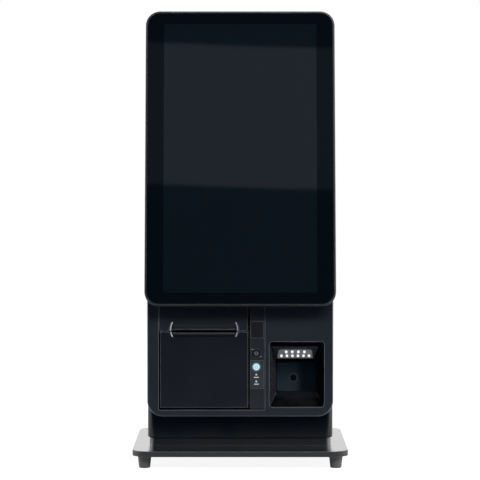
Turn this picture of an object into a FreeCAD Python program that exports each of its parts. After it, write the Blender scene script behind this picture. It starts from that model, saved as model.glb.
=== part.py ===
import FreeCAD, Part
import math
import os
import re

import Sketcher

# Countertop ticket kiosk: a footed base with an 80 mm ticket printer, a key and
# status strip and a code scanner bay, carrying a tilted portrait touch display.
# Millimetres. +Z is up, the front faces -Y, the origin lies under the middle of
# the base plate on the plane of the table.

Vector = FreeCAD.Vector
Rotation = FreeCAD.Rotation

SIZES = {
    # running and assembly clearances, and how far a cut starts outside what it cuts
    "slipGap": 0.3, "fitGap": 0.15, "shaftGap": 0.05, "overshoot": 1,
    # base plate and feet
    "plateWidth": 270, "plateDepth": 254, "plateThickness": 7, "plateCorner": 23, "plateEdge": 1,
    "footHeight": 15, "footTopRadius": 8.5, "footBottomRadius": 6.85, "footInset": 15.5, "footEdge": 1.5,
    "footScrewRadius": 2, "footScrewHeadRadius": 3.8, "footScrewHead": 2.4, "footRecess": 5,
    "footScrewGrip": 5,
    # plinth and the pan that stands on it
    "plinthHeight": 10, "plinthSetback": 2.5, "plinthCorner": 8, "plinthWall": 3, "panThickness": 2,
    # housing and bezel
    "bodyWidth": 235, "bodyDepth": 162.5, "bodyHeight": 183, "bodyFront": 67.5, "bodyWall": 2.5,
    "bodyCorner": 10, "bodyTopEdge": 5, "bodyBottomEdge": 1.8, "chinHeight": 28.3,
    "bezelDepth": 12.5, "bezelWall": 2.5, "bezelCorner": 20, "bezelTopCorner": 10, "bezelEdge": 1.6,
    "bezelRim": 6, "ventsPerSide": 5, "ventMiddle": 64, "ventPitch": 9, "ventWidth": 2.4, "ventHeight": 60,
    "ventLean": 3.4, "ventRise": 78,
    # opening in the bezel around the lid, the door and the key strip
    "openingSideGap": 0.8, "openingTopGap": 1.5, "openingBottomGap": 2.8,
    "tabReach": 3, "tabThickness": 2,
    # printer door and lid
    "lidMargin": 15.3, "lidTopMargin": 11.5, "lidWidth": 112, "lidGap": 0.8,
    "doorInset": 1.1, "doorRise": 11.1, "doorHeight": 96.3, "panelEdge": 0.5,
    # ticket scoop, slot and tear bar
    "scoopLength": 79.6, "scoopRadius": 14, "scoopEndRadius": 21, "scoopEndBulge": 2, "scoopDepth": 3.5,
    "scoopLift": 2.4, "scoopBacking": 5, "scoopBackingSpan": 9.6, "scoopMargin": 5.2, "guideThickness": 2.2,
    "slotLap": 0.95, "slotDrop": 1.3, "slotRise": 0.5,
    "tearBarInset": 0.8, "tearBarHeight": 1.4, "tearBarDepth": 3, "tearNotchWidth": 1.6,
    "tearNotchDepth": 0.9, "tearNotchGap": 22.2,
    # door hinge
    "hingeBack": 5, "hingeRise": 4.6, "hingePinRadius": 1.2, "knuckleRadius": 2.4, "knuckleLength": 6.5,
    "earRadius": 2.2,
    # printer frame and paper
    "frameInset": 3.9, "frameOutset": 0.7, "sheetThickness": 1.5, "floorDrop": 13.5, "frameMargin": 2,
    "frameTopMargin": 1, "frameFrontSetback": 6,
    "rollRadius": 39, "rollWidth": 79.5, "coreRadius": 6.5, "rollSetback": 80, "binWall": 2,
    "binSideGap": 1, "binClear": 3,
    # platen and the inner shell of the door
    "platenRadius": 7, "platenBack": 14, "platenDrop": 11.1, "platenShaftRadius": 3, "latchSpace": 13.6,
    "linerWall": 2.2, "linerPanel": 2, "linerDepth": 19, "linerBelow": 14, "linerPanelRise": 10.6,
    # print head, heat sink, springs and the crossbar behind them
    "headBarDepth": 4.7, "headBarHeight": 15, "headBarGap": 0.9, "sinkDepth": 8, "sinkBase": 2.5,
    "finCount": 13, "finThickness": 2, "springSpace": 4, "springRadius": 2.2, "springSpread": 50,
    "crossbarDepth": 2, "crossbarBelow": 7.5,
    # feed gears and motor
    "gearModule": 1, "gearWidth": 4, "gearSideGap": 0.6, "gearPlay": 0.15, "toothTip": 0.85,
    "toothRoot": 1.15, "tipShare": 0.11, "rootShare": 0.3,
    "platenTeeth": 18, "idlerTeeth": 24, "motorTeeth": 12, "idlerDirection": 25, "motorDirection": 15,
    "idlerPinRadius": 2, "idlerMountRadius": 6, "motorShaftRadius": 1.5, "motorRadius": 17.5,
    "motorLength": 16, "motorBossRadius": 5,
    # paper cutter
    "bladeAbove": 1, "bladeGap": 0.1, "bladeThickness": 1, "bladeLap": 0.5, "bladeDepth": 12,
    "bladeHomeGap": 2.2, "fixedBladeDepth": 9, "cutLineSetback": 1.9, "guideSetback": 0.6,
    "cutterGuideDepth": 17.5, "cutterGuideThickness": 1.6, "rackLength": 20, "rackWidth": 5,
    "rackInset": 14, "pinionSetback": 8, "pinionTeeth": 10, "pinionHeight": 3, "cutterMotorRadius": 8,
    "cutterMotorHeight": 20, "cutterShaftRadius": 1, "cutterHousingGap": 1,
    # door latch
    "catchRadius": 1.5, "catchBelow": 9, "catchBack": 14, "catchLength": 8.4, "hookClear": 0.4,
    "hookSpace": 2.8, "hookWidth": 4, "hookThickness": 5.5, "hookNose": 2.5, "hookNoseDrop": 2.2,
    "leverPivotBack": 30, "leverPivotRise": 7, "leverShaftRadius": 2, "leverShaftEnd": 1,
    "leverHubRadius": 4, "leverTabWidth": 6, "leverTabThickness": 3, "leverTabSetback": 0.8,
    "leverTabMargin": 2, "leverArmHeight": 4,
    # key strip and release button
    "stripGap": 2.5, "stripWidth": 18, "stripBelow": 0.9, "stripBackLeft": 0.8,
    "buttonInset": 1, "buttonRise": 4.9, "buttonHeight": 21, "buttonProud": 0.6, "buttonDepth": 6,
    "buttonLip": 1, "buttonCorner": 1.2, "buttonEdge": 0.8, "stemRadius": 2, "stemRoot": 1,
    # lock
    "lockDrop": 14.7, "lockShift": 1, "lockFlangeRadius": 5.6, "lockFlange": 1.2, "lockBodyRadius": 4.8,
    "lockLength": 18, "lockPlugRadius": 3.4, "keyWidth": 1.1, "keyHeight": 4.6, "keyDepth": 10,
    "camLength": 15, "camWidth": 7, "camThickness": 2, "strikeWidth": 3.5, "strikeArm": 4,
    "strikeLip": 2.2,
    # status panel, power button and lamps
    "statusInset": 0.9, "statusBelow": 9.2, "statusHeight": 35, "statusProud": 0.25,
    "statusThickness": 3, "statusLip": 1, "statusCorner": 1, "powerDrop": 7.9, "powerRadius": 3.6,
    "powerRingWidth": 1, "powerProud": 0.6, "powerLength": 7, "powerFlange": 1.2, "lampDrop": 9.8,
    "lampPitch": 8.6, "lampRadius": 1.2, "lampLength": 4.5, "lampProud": 0.3,
    # scanner bay
    "bayGap": 6.4, "bayMargin": 11.4, "bayRise": 11.7, "bayHeight": 82.9, "bayCorner": 4.5,
    "bayDepth": 35, "bayLeftInset": 9.4, "bayRightInset": 9, "bayBackRise": 15.6, "bayBackHeight": 38.8,
    "bayWall": 2, "bayFlange": 2.4, "bayFlangeThickness": 2, "sleeveDepth": 8, "windowThickness": 1.6,
    "lensShift": 3.6, "lensLower": 1.2, "lensRadius": 6.2, "lensLength": 4.5, "lensGlassRadius": 4,
    "lensPupilRadius": 2.8, "lensGlassDepth": 2, "engineDepth": 24, "engineStep": 6,
    # light bar on the bay's sloping roof
    "lightBarStart": 9, "lightBarLength": 25, "lightBarMargin": 4, "lightBarShift": 1.6,
    "lightBarThickness": 2, "diffuserStart": 5, "diffuserLength": 17, "diffuserTopMargin": 7.5,
    "diffuserLowMargin": 1, "diffuserThickness": 1, "diffuserCorner": 4, "ledRadius": 1.5,
    "ledProud": 1.8, "ledUpperCount": 4, "ledUpperEnd": 1.27, "ledUpperStart": 7.6,
    "ledLowerCount": 6, "ledLowerEnd": 0.71, "ledLowerStart": 16,
    # display head, upright before it is tilted
    "headTilt": 10, "headAhead": 20.5, "headDrop": 13.5, "screenWidth": 193.6, "screenHeight": 344.2,
    "sideBorder": 23.45, "endBorder": 17, "headThickness": 13, "headCorner": 18.5, "headEdge": 2,
    "glassInset": 2.4, "glassThickness": 2, "glassSink": 0.2, "panelBorder": 4.7, "panelThickness": 5.5,
    "coverFlange": 5, "coverRecess": 3.5, "coverSideLip": 12.5, "coverEndLip": 18.8, "coverDepth": 24,
    "coverWall": 2.5, "coverCorner": 22, "coverEdge": 5, "headScrewRadius": 1.5,
    "headScrewHeadRadius": 2.2, "headScrewHead": 1.2, "headScrewGrip": 3,
    # neck between base and display head
    "postWidth": 70, "postThickness": 4, "postFoot": 40, "postRise": 170, "postWindow": 34,
    "neckWidth": 96, "neckWall": 2.5, "neckFootDepth": 62, "neckTopDepth": 30, "neckRise": 200,
    "cableHoleRadius": 12, "cableRise": 126,
    # electronics and rear connectors
    "boardSideGap": 7, "boardRearGap": 4.5, "boardWidth": 84, "boardDepth": 108, "boardThickness": 1.6,
    "boardRise": 8, "spacerRadius": 3, "spacerInset": 5,
    "socketMargin": 4, "socketSpace": 7, "inletWidth": 14, "inletHeight": 11, "inletBore": 3.2,
    "inletPin": 1.1, "networkWidth": 16, "networkHeight": 13.5, "usbWidth": 14.5, "usbHeight": 7,
    "usbGap": 3.5, "socketDepth": 16, "socketWall": 1, "socketRecess": 9, "socketProud": 0.6,
    "socketGap": 0.4,
}

PLACES = {
    # heights from the table up
    "plateTop": "footHeight + plateThickness",
    "plinthTop": "plateTop + plinthHeight",
    "panTop": "plinthTop + panThickness",
    "bodyTop": "plinthTop + bodyHeight",
    "bezelBottom": "plinthTop + chinHeight",
    "ventBottom": "plinthTop + ventRise",
    # depths, front to back
    "chinY": "-bodyFront",
    "bodyRearY": "bodyDepth - bodyFront",
    "faceY": "chinY - bezelDepth",
    "skinY": "faceY + bezelWall",
    "chinInnerY": "chinY + bodyWall",
    "tabBackY": "skinY + tabThickness",
    # door, lid and the seam between them
    "lidLeft": "lidMargin - bodyWidth / 2",
    "doorLeft": "lidLeft + doorInset",
    "doorRight": "lidLeft + lidWidth",
    "doorWidth": "doorRight - doorLeft",
    "doorBottom": "bezelBottom + doorRise",
    "doorTop": "doorBottom + doorHeight",
    "lidBottom": "doorTop + lidGap",
    "lidTop": "bodyTop - lidTopMargin",
    "lidHeight": "lidTop - lidBottom",
    "seamZ": "doorTop + lidGap / 2",
    # ticket scoop, slot and tear bar
    "scoopMiddle": "(doorLeft + doorRight) / 2",
    "scoopLeft": "scoopMiddle - scoopLength / 2",
    "scoopRight": "scoopMiddle + scoopLength / 2",
    "scoopAxisY": "faceY + scoopDepth - scoopRadius",
    "scoopAxisZ": "seamZ + scoopLift",
    "scoopReach": "sqrt(scoopEndRadius ^ 2 - (scoopRadius - scoopDepth) ^ 2) - scoopEndBulge",
    "scoopBackY": "faceY + scoopBacking",
    "slotLength": "scoopLength + 2 * slotLap",
    "tearBarLength": "scoopLength - 2 * tearBarInset",
    # hinge line of the door
    "hingeY": "faceY + hingeBack",
    "hingeZ": "doorBottom + hingeRise",
    # printer frame: two side plates
    "frameLeft": "doorLeft + frameInset",
    "frameLeftInner": "frameLeft + sheetThickness",
    "frameRightInner": "doorRight + frameOutset",
    "frameRight": "frameRightInner + sheetThickness",
    "frameFrontY": "faceY + frameFrontSetback",
    "frameFloor": "hingeZ - floorDrop",
    # door liner walls either side of the platen
    "gearLeft": "frameLeftInner + gearSideGap",
    "gearRight": "gearLeft + gearWidth",
    "linerLeft": "gearRight + gearSideGap",
    "linerLeftInner": "linerLeft + linerWall",
    "linerRight": "frameRightInner - latchSpace",
    "linerRightInner": "linerRight - linerWall",
    "linerBackY": "skinY + linerDepth",
    "linerBottom": "platenHeight - linerBelow",
    "linerPanelBottom": "doorBottom + linerPanelRise",
    "platenLeft": "linerLeftInner + gearSideGap",
    "platenRight": "linerRightInner - gearSideGap",
    "platenLength": "platenRight - platenLeft",
    "platenMiddle": "(platenLeft + platenRight) / 2",
    "platenHeight": "seamZ - platenDrop",
    # feed train: platen on the door, idler and motor on the frame
    "platenY": "faceY + platenBack",
    "idlerReach": "gearModule * (platenTeeth + idlerTeeth) / 2 + gearPlay",
    "motorReach": "gearModule * (motorTeeth + idlerTeeth) / 2 + gearPlay",
    "idlerY": "platenY + idlerReach * cos(idlerDirection)",
    "idlerZ": "platenHeight + idlerReach * sin(idlerDirection)",
    "motorY": "idlerY + motorReach * cos(motorDirection)",
    "motorZ": "idlerZ + motorReach * sin(motorDirection)",
    # print head behind the platen, and the crossbar that its springs push against
    "headBarY": "platenY + platenRadius + slipGap",
    "headBarTop": "bladeFloor - cutterGuideThickness - headBarGap",
    "headBarBottom": "headBarTop - headBarHeight",
    "sinkY": "headBarY + headBarDepth",
    "sinkBackY": "sinkY + sinkDepth",
    "crossbarY": "sinkBackY + springSpace",
    "crossbarBottom": "headBarBottom - crossbarBelow",
    "crossbarLowTop": "idlerZ - gearModule * (idlerTeeth / 2 + 1) - 2 * slipGap",
    # paper bin and roll
    "binFloor": "frameFloor + sheetThickness",
    "rollMiddleY": "faceY + rollSetback",
    "rollZ": "binFloor + binWall + slipGap + rollRadius",
    "binInnerWidth": "rollWidth + 2 * binSideGap",
    "binLeft": "platenMiddle - binInnerWidth / 2 - binWall",
    "binInnerDepth": "2 * (rollRadius + binClear)",
    "binFrontY": "rollMiddleY - binInnerDepth / 2",
    "binBackY": "rollMiddleY + binInnerDepth / 2 + binWall",
    "binHeight": "crossbarBottom - 2 * slipGap - binFloor",
    "frameRear": "binBackY + frameMargin",
    # cutter
    "bladeFloor": "platenHeight + platenRadius + bladeAbove",
    "frameTop": "bladeFloor + frameTopMargin",
    "bladeBottom": "bladeFloor + bladeGap",
    "bladeLength": "linerRightInner - linerLeftInner + 2 * bladeLap",
    "cutLineY": "headBarY - cutLineSetback",
    "bladeFrontY": "cutLineY + bladeHomeGap",
    "bladeBackY": "bladeFrontY + bladeDepth",
    "guideFrontY": "headBarY + guideSetback",
    "guideFloor": "bladeFloor - cutterGuideThickness",
    "rackLineX": "platenRight - rackInset",
    "pinionX": "rackLineX - gearModule * pinionTeeth / 2 - gearPlay",
    "pinionY": "bladeBackY + pinionSetback",
    # latch
    "catchY": "faceY + catchBack",
    "catchHeight": "platenHeight - catchBelow",
    "catchReach": "sqrt((catchY - hingeY) ^ 2 + (catchHeight - hingeZ) ^ 2)",
    "hookBottom": "hingeZ + catchReach + catchRadius + hookClear",
    "hookLeft": "linerRight + hookSpace",
    "leverY": "faceY + leverPivotBack",
    "leverZ": "catchHeight + leverPivotRise",
    "noseY": "catchY - catchRadius - slipGap - hookNose",
    "tabY": "noseY + hookNose + leverTabSetback",
    "tabBottom": "leverZ - leverArmHeight / 2",
    "tabTop": "stemZ + stemRadius + leverTabMargin",
    # key strip, from the top down
    "stripLeft": "doorRight + stripGap",
    "stripRight": "stripLeft + stripWidth",
    "stripBottom": "doorBottom - stripBelow",
    "stripMiddle": "stripLeft + stripWidth / 2 - lockShift",
    "stripDepth": "bezelWall + tabThickness",
    "buttonLeft": "stripLeft + buttonInset",
    "buttonWidth": "stripWidth - 2 * buttonInset",
    "buttonBottom": "leverZ + buttonRise",
    "buttonFrontY": "faceY - buttonProud",
    "stemZ": "buttonBottom + buttonHeight / 2",
    "lockRise": "leverZ - lockDrop",
    "lockBackY": "faceY + lockLength",
    "camFrontY": "lockBackY + slipGap",
    "camBackY": "camFrontY + camThickness",
    "strikeBackY": "camBackY + slipGap + strikeLip",
    "strikeBottom": "lockRise + camWidth / 2 + slipGap",
    "statusLeft": "stripLeft + statusInset",
    "statusWidth": "stripWidth - 2 * statusInset",
    "statusTop": "lockRise - statusBelow",
    "statusBottom": "statusTop - statusHeight",
    "statusFrontY": "faceY - statusProud",
    "powerHeight": "statusTop - powerDrop",
    "lampHigh": "powerHeight - lampDrop",
    "lampLow": "lampHigh - lampPitch",
    # opening in the bezel
    "openingLeft": "lidLeft - openingSideGap",
    "openingRight": "stripRight + openingSideGap",
    "openingWidth": "openingRight - openingLeft",
    "openingBottom": "doorBottom - openingBottomGap",
    "openingTop": "lidTop + openingTopGap",
    "openingHeight": "openingTop - openingBottom",
    # scanner bay
    "bayLeft": "stripRight + bayGap",
    "bayWidth": "bodyWidth / 2 - bayMargin - bayLeft",
    "bayMiddle": "bayLeft + bayWidth / 2",
    "bayBottom": "bezelBottom + bayRise",
    "bayTop": "bayBottom + bayHeight",
    "bayBackLeft": "bayLeft + bayLeftInset",
    "bayBackWidth": "bayWidth - bayLeftInset - bayRightInset",
    "bayBackBottom": "bayBottom + bayBackRise",
    "bayBackTop": "bayBackBottom + bayBackHeight",
    "bayBackY": "faceY + bayDepth",
    "sleeveBackY": "bayBackY + sleeveDepth",
    "lensX": "bayBackLeft + bayBackWidth / 2 - lensShift",
    "lensZ": "bayBackBottom + bayBackHeight / 2 - lensLower",
    # light bar, laid down the slope of the bay's roof
    "roofDepth": "bayDepth - bezelWall",
    "roofDrop": "bayTop - bayBackTop",
    "baySlope": "atan(roofDrop / roofDepth)",
    "roofTaper": "(bayWidth - bayBackWidth) / sqrt(roofDepth ^ 2 + roofDrop ^ 2)",
    "lightBarTop": "bayWidth - roofTaper * lightBarStart - 2 * lightBarMargin",
    "lightBarLow": "lightBarTop - roofTaper * lightBarLength",
    "diffuserTop": "lightBarTop - 2 * diffuserTopMargin",
    "diffuserLow": "lightBarLow - 2 * diffuserLowMargin",
    "ledUpperPitch": "diffuserTop / (ledUpperCount - 1 + 2 * ledUpperEnd)",
    "ledLowerPitch": "diffuserLow / (ledLowerCount - 1 + 2 * ledLowerEnd)",
    # display head, local depths
    "headFrontY": "faceY - headAhead",
    "headBottomZ": "bodyTop - headDrop",
    "headWidth": "screenWidth + 2 * sideBorder",
    "headHeight": "screenHeight + 2 * endBorder",
    "glassCorner": "headCorner - glassInset",
    "coverBackDepth": "headThickness + coverDepth",
    "panelWidth": "screenWidth + 2 * panelBorder",
    "panelHeight": "screenHeight + 2 * panelBorder",
    "recessWidth": "panelWidth + 2 * coverFlange",
    "recessHeight": "panelHeight + 2 * coverFlange",
    "coverWidth": "recessWidth - 2 * coverSideLip",
    "coverHeight": "recessHeight - 2 * coverEndLip",
    "coverFloor": "coverBackDepth - coverWall",
    "flangeDepth": "headThickness - coverRecess",
    # line where the back of the head meets the top of the housing
    "backY": "headFrontY + coverBackDepth * cos(headTilt)",
    "backZ": "headBottomZ - coverBackDepth * sin(headTilt)",
    "neckFrontY": "backY + (bodyTop - backZ) * tan(headTilt)",
    "postWindowZ": "backZ + cableRise * cos(headTilt) - postWindow / 2",
    "footSpan": "(postThickness + postFoot + neckFootDepth - neckWall) / cos(headTilt)",
    # electronics
    "boardLeft": "bodyWidth / 2 - bodyWall - boardSideGap - boardWidth",
    "boardBackY": "bodyRearY - bodyWall - boardRearGap",
    "boardFrontY": "boardBackY - boardDepth",
    "boardZ": "panTop + boardRise",
    "socketZ": "boardZ + boardThickness",
    "socketBackY": "bodyRearY + socketProud",
    "inletX": "boardLeft + socketMargin + inletWidth / 2",
    "networkX": "inletX + (inletWidth + networkWidth) / 2 + socketSpace",
    "usbX": "networkX + (networkWidth + usbWidth) / 2 + socketSpace",
    "usbPitch": "usbWidth + usbGap",
}

document = FreeCAD.newDocument("TicketKiosk")


def make_sheet(name, cells):
    sheet = document.addObject("Spreadsheet::Sheet", name)
    for row, (alias, text) in enumerate(cells.items(), start=1):
        sheet.set(f"A{row}", alias)
        sheet.set(f"B{row}", text)
        sheet.setAlias(f"B{row}", alias)
    return sheet


def with_sheets(expression, own=False):
    """Puts the sheet's name before every alias in an expression."""
    def prefixed(match):
        word = match.group(0)
        if word in SIZES:
            return "Sizes." + word
        if word in PLACES and not own:
            return "Places." + word
        return word
    return re.sub(r"[A-Za-z_]\w*", prefixed, str(expression))


sizes = make_sheet("Sizes", {alias: str(number) for alias, number in SIZES.items()})
places = make_sheet("Places", {alias: "=" + with_sheets(text, own=True) for alias, text in PLACES.items()})
document.recompute()


def size(alias):
    """The number behind an alias of either sheet."""
    return float((sizes if alias in SIZES else places).get(alias))


# ---------------------------------------------------------------- building tools

nodes = []


def node(thing):
    """Marks an object as a sub-part of its own."""
    nodes.append(thing)
    return thing


def new(kind, label):
    thing = document.addObject(kind, re.sub(r"\W", "_", label))
    thing.Label = label
    return thing


def bind(thing, **expressions):
    for name, expression in expressions.items():
        thing.setExpression(name, with_sheets(expression))


def place(thing, x=0, y=0, z=0):
    for axis, expression in zip("xyz", (x, y, z)):
        thing.setExpression(f"Placement.Base.{axis}", with_sheets(expression))
    return thing


def box(label, x, y, z, dx, dy, dz):
    thing = new("Part::Box", label)
    bind(thing, Length=dx, Width=dy, Height=dz)
    return place(thing, x, y, z)


TOWARDS = {
    "x": Rotation(Vector(0, 1, 0), 90),
    "y": Rotation(Vector(1, 0, 0), -90),
    "z": Rotation(),
}


def rod(label, axis, x, y, z, radius, length):
    """A cylinder that starts at a point and runs along +axis."""
    thing = new("Part::Cylinder", label)
    thing.Placement = FreeCAD.Placement(Vector(), TOWARDS[axis])
    bind(thing, Radius=radius, Height=length)
    return place(thing, x, y, z)


def cone(label, axis, x, y, z, radius_start, radius_end, length):
    thing = new("Part::Cone", label)
    thing.Placement = FreeCAD.Placement(Vector(), TOWARDS[axis])
    bind(thing, Radius1=radius_start, Radius2=radius_end, Height=length)
    return place(thing, x, y, z)


def ball(label, x, y, z, radius):
    thing = new("Part::Sphere", label)
    bind(thing, Radius=radius)
    return place(thing, x, y, z)


def cut(label, base, *tools):
    for number, tool in enumerate(tools, start=1):
        thing = new("Part::Cut", label if number == len(tools) else f"{label} step {number}")
        thing.Base = base
        thing.Tool = tool
        base = thing
    return base


def fuse(label, *shapes):
    thing = new("Part::MultiFuse", label)
    thing.Shapes = list(shapes)
    return thing


def common(label, first, second):
    thing = new("Part::Common", label)
    thing.Base = first
    thing.Tool = second
    return thing


def group(label, shapes):
    """Separate solids that share one node."""
    thing = new("Part::Compound", label)
    thing.Links = list(shapes)
    return thing


def origin_plane(body, role):
    return next(feature for feature in body.Origin.OriginFeatures if feature.Role == role)


def outline(body, plane, points, offset):
    """A closed sketch of straight lines whose corners are bound to expressions."""
    sketch = body.newObject("Sketcher::SketchObject", body.Name + "_outline")
    sketch.AttachmentSupport = (origin_plane(body, plane + "_Plane"), "")
    sketch.MapMode = "FlatFace"
    sketch.setExpression("AttachmentOffset.Base.z", with_sheets(offset))
    count = len(points)
    ring = [Vector(math.cos(2 * math.pi * i / count), math.sin(2 * math.pi * i / count), 0) * 10
            for i in range(count)]
    for i in range(count):
        sketch.addGeometry(Part.LineSegment(ring[i], ring[(i + 1) % count]))
    for i in range(count):
        sketch.addConstraint(Sketcher.Constraint("Coincident", i, 2, (i + 1) % count, 1))
    for i, (across, up) in enumerate(points):
        for kind, name, start, expression in (("DistanceX", f"across{i}", ring[i].x, across),
                                              ("DistanceY", f"up{i}", ring[i].y, up)):
            index = sketch.addConstraint(Sketcher.Constraint(kind, -1, 1, i, 1, start))
            sketch.renameConstraint(index, name)
            sketch.setExpression("Constraints." + name, with_sheets(expression))
    return sketch


def prism(label, plane, points, start, depth):
    """A padded outline. XY pads up from Z=start, YZ pads right from X=start, and XZ
    fills the depth behind Y=start."""
    body = new("PartDesign::Body", label)
    offset = f"-(({start}) + ({depth}))" if plane == "XZ" else start
    sketch = outline(body, plane, points, offset)
    pad = body.newObject("PartDesign::Pad", body.Name + "_pad")
    pad.Profile = sketch
    bind(pad, Length=depth)
    return body


def straight_along(axis):
    def wanted(edge, bounds):
        line = edge.tangentAt(edge.FirstParameter)
        return abs(getattr(line, axis)) > 0.999 and edge.Curve.TypeId == "Part::GeomLine"
    return wanted


def lying_at(axis, side):
    """Edges that lie wholly in the lowest or highest plane of the shape."""
    name = axis.upper()
    def wanted(edge, bounds):
        limit = getattr(bounds, name + side)
        box_of_edge = edge.BoundBox
        return (abs(getattr(box_of_edge, name + "Min") - limit) < 1e-4
                and abs(getattr(box_of_edge, name + "Max") - limit) < 1e-4)
    return wanted


def both(first, second):
    return lambda edge, bounds: first(edge, bounds) and second(edge, bounds)


def round_edges(body, radius, wanted):
    document.recompute()
    base = body.Tip
    bounds = base.Shape.BoundBox
    names = [f"Edge{number}" for number, edge in enumerate(base.Shape.Edges, start=1) if wanted(edge, bounds)]
    fillet = body.newObject("PartDesign::Fillet", body.Name + "_round")
    fillet.Base = (base, names)
    bind(fillet, Radius=radius)
    return body


def slab(label, plane, across, up, width, height, start, depth, corner=None):
    """A rectangular pad, its four corner edges rounded if a radius is given."""
    right = f"({across}) + ({width})"
    top = f"({up}) + ({height})"
    body = prism(label, plane, [(across, up), (right, up), (right, top), (across, top)], start, depth)
    if corner:
        round_edges(body, corner, straight_along({"XY": "z", "XZ": "y", "YZ": "x"}[plane]))
    return body


def back_along(axis, point, length):
    """The point moved back along an axis."""
    return [f"({base}) - ({length})" if name == axis else base for name, base in zip("xyz", point)]


def screws(label, axis, points, head_radius, head, shank_radius, shank, forward=True):
    """Cap screws whose heads stand on the given points, shanks running along the axis or
    against it. Returns the group and a group of the holes that clear the shanks."""
    pieces = []
    holes = []
    for number, point in enumerate(points, start=1):
        cap_start = back_along(axis, point, head) if forward else point
        stem_start = point if forward else back_along(axis, point, shank)
        cap = rod(f"{label} cap {number}", axis, *cap_start, head_radius, head)
        stem = rod(f"{label} stem {number}", axis, *stem_start, shank_radius, shank)
        pieces.append(fuse(f"{label} {number}", cap, stem))
        holes.append(rod(f"{label} hole {number}", axis, *stem_start, f"({shank_radius}) + shaftGap", shank))
    return group(label, pieces), group(label + " holes", holes)


def gear_shape(teeth, width, bore, turn=0.0):
    """A spur gear about Z with straight-flanked teeth that leave play at the pitch line.
    The first tooth points along +X turned by the given degrees."""
    module = size("gearModule")
    pitch_radius = module * teeth / 2
    step = 2 * math.pi / teeth
    tip = pitch_radius + size("toothTip") * module
    root = pitch_radius - size("toothRoot") * module
    tip_share, root_share = size("tipShare"), size("rootShare")
    points = []
    for tooth in range(teeth):
        middle = math.radians(turn) + tooth * step
        for radius, share in ((root, -root_share), (tip, -tip_share), (tip, tip_share), (root, root_share)):
            angle = middle + share * step
            points.append(Vector(radius * math.cos(angle), radius * math.sin(angle), 0))
    disc = Part.Face(Part.makePolygon(points + points[:1])).extrude(Vector(0, 0, width))
    return disc.cut(Part.makeCylinder(bore, width)) if bore else disc


def meshing_turn(turn, teeth, other_teeth, direction):
    """Turn of a gear that meshes with another one lying in a direction from it."""
    step = 360 / teeth
    lead = (turn - direction + step / 2) % step - step / 2
    other_step = 360 / other_teeth
    return direction + 180 + other_step / 2 - lead * teeth / other_teeth


# The axis of a shape built about Z is laid along +X, its +X along +Y.
ALONG_X = Rotation(Vector(1, 1, 1), 120)


def shaped(label, shape, x, y, z, rotation=None):
    """A shape made with Part's functions, placed by expressions."""
    thing = new("Part::Feature", label)
    thing.Shape = shape
    thing.Placement = FreeCAD.Placement(Vector(), rotation or Rotation())
    return place(thing, x, y, z)


def on_head(thing):
    """Tilts a piece of the display head from its upright frame into place."""
    thing.Placement = FreeCAD.Placement(Vector(), Rotation(Vector(-1, 0, 0), size("headTilt")))
    bind(thing, **{"Placement.Rotation.Angle": "headTilt"})
    return node(place(thing, 0, "headFrontY", "headBottomZ"))


# ---------------------------------------------------------------- base plate and feet

def make_footing():
    plate = slab("plate blank", "XY", "-plateWidth / 2", "-plateDepth / 2", "plateWidth", "plateDepth",
                 "footHeight", "plateThickness", "plateCorner")
    round_edges(plate, "plateEdge", lying_at("z", "Max"))
    spots = {f"{row}_{side}": (f"{x} * (plateWidth / 2 - footInset)", f"{y} * (plateDepth / 2 - footInset)")
             for row, y in (("front", -1), ("rear", 1)) for side, x in (("left", -1), ("right", 1))}
    points = [(x, y, "footRecess") for x, y in spots.values()]
    foot_screws, holes = screws("foot_screws", "z", points, "footScrewHeadRadius", "footScrewHead",
                                "footScrewRadius", "footHeight - footRecess + footScrewGrip")
    node(foot_screws)
    node(cut("base_plate", plate, holes))
    for name, (x, y) in spots.items():
        blank = cone(f"foot {name} cone", "z", x, y, 0, "footBottomRadius", "footTopRadius", "footHeight")
        ring = new("Part::Fillet", f"foot {name} round")
        ring.Base = blank
        document.recompute()
        bottom = next(number for number, edge in enumerate(blank.Shape.Edges, start=1)
                      if abs(edge.BoundBox.ZMax) < 1e-6)
        ring.Edges = [(bottom, size("footEdge"), size("footEdge"))]
        recess = rod(f"foot {name} recess", "z", x, y, 0, "footScrewHeadRadius + slipGap", "footRecess")
        bore = rod(f"foot {name} bore", "z", x, y, 0, "footScrewRadius + shaftGap", "footHeight")
        node(cut(f"foot_{name}", ring, recess, bore))


def make_plinth():
    outer = slab("plinth blank", "XY", "plinthSetback - bodyWidth / 2", "chinY + plinthSetback",
                 "bodyWidth - 2 * plinthSetback", "bodyDepth - 2 * plinthSetback", "plateTop", "plinthHeight",
                 "plinthCorner")
    hollow = box("plinth hollow", "plinthSetback + plinthWall - bodyWidth / 2 + plinthCorner",
                 "chinY + plinthSetback + plinthWall", "plateTop + plinthWall",
                 "bodyWidth - 2 * (plinthSetback + plinthWall + plinthCorner)",
                 "bodyDepth - 2 * (plinthSetback + plinthWall)", "plinthHeight")
    node(cut("plinth", outer, hollow))
    pan = slab("pan sheet", "XY", "bodyWall + fitGap - bodyWidth / 2", "chinInnerY + fitGap",
               "bodyWidth - 2 * (bodyWall + fitGap)", "bodyDepth - 2 * (bodyWall + fitGap)",
               "plinthTop", "panThickness", "bodyCorner - bodyWall")
    spacers = [rod(f"board spacer {number}", "z", x, y, "panTop", "spacerRadius", "boardRise")
               for number, (x, y) in enumerate(board_corners(), start=1)]
    node(fuse("chassis_pan", pan, *spacers))


def board_corners():
    return [(x, y) for x in ("boardLeft + spacerInset", "boardLeft + boardWidth - spacerInset")
            for y in ("boardFrontY + spacerInset", "boardBackY - spacerInset")]


# ---------------------------------------------------------------- housing and bezel

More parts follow.
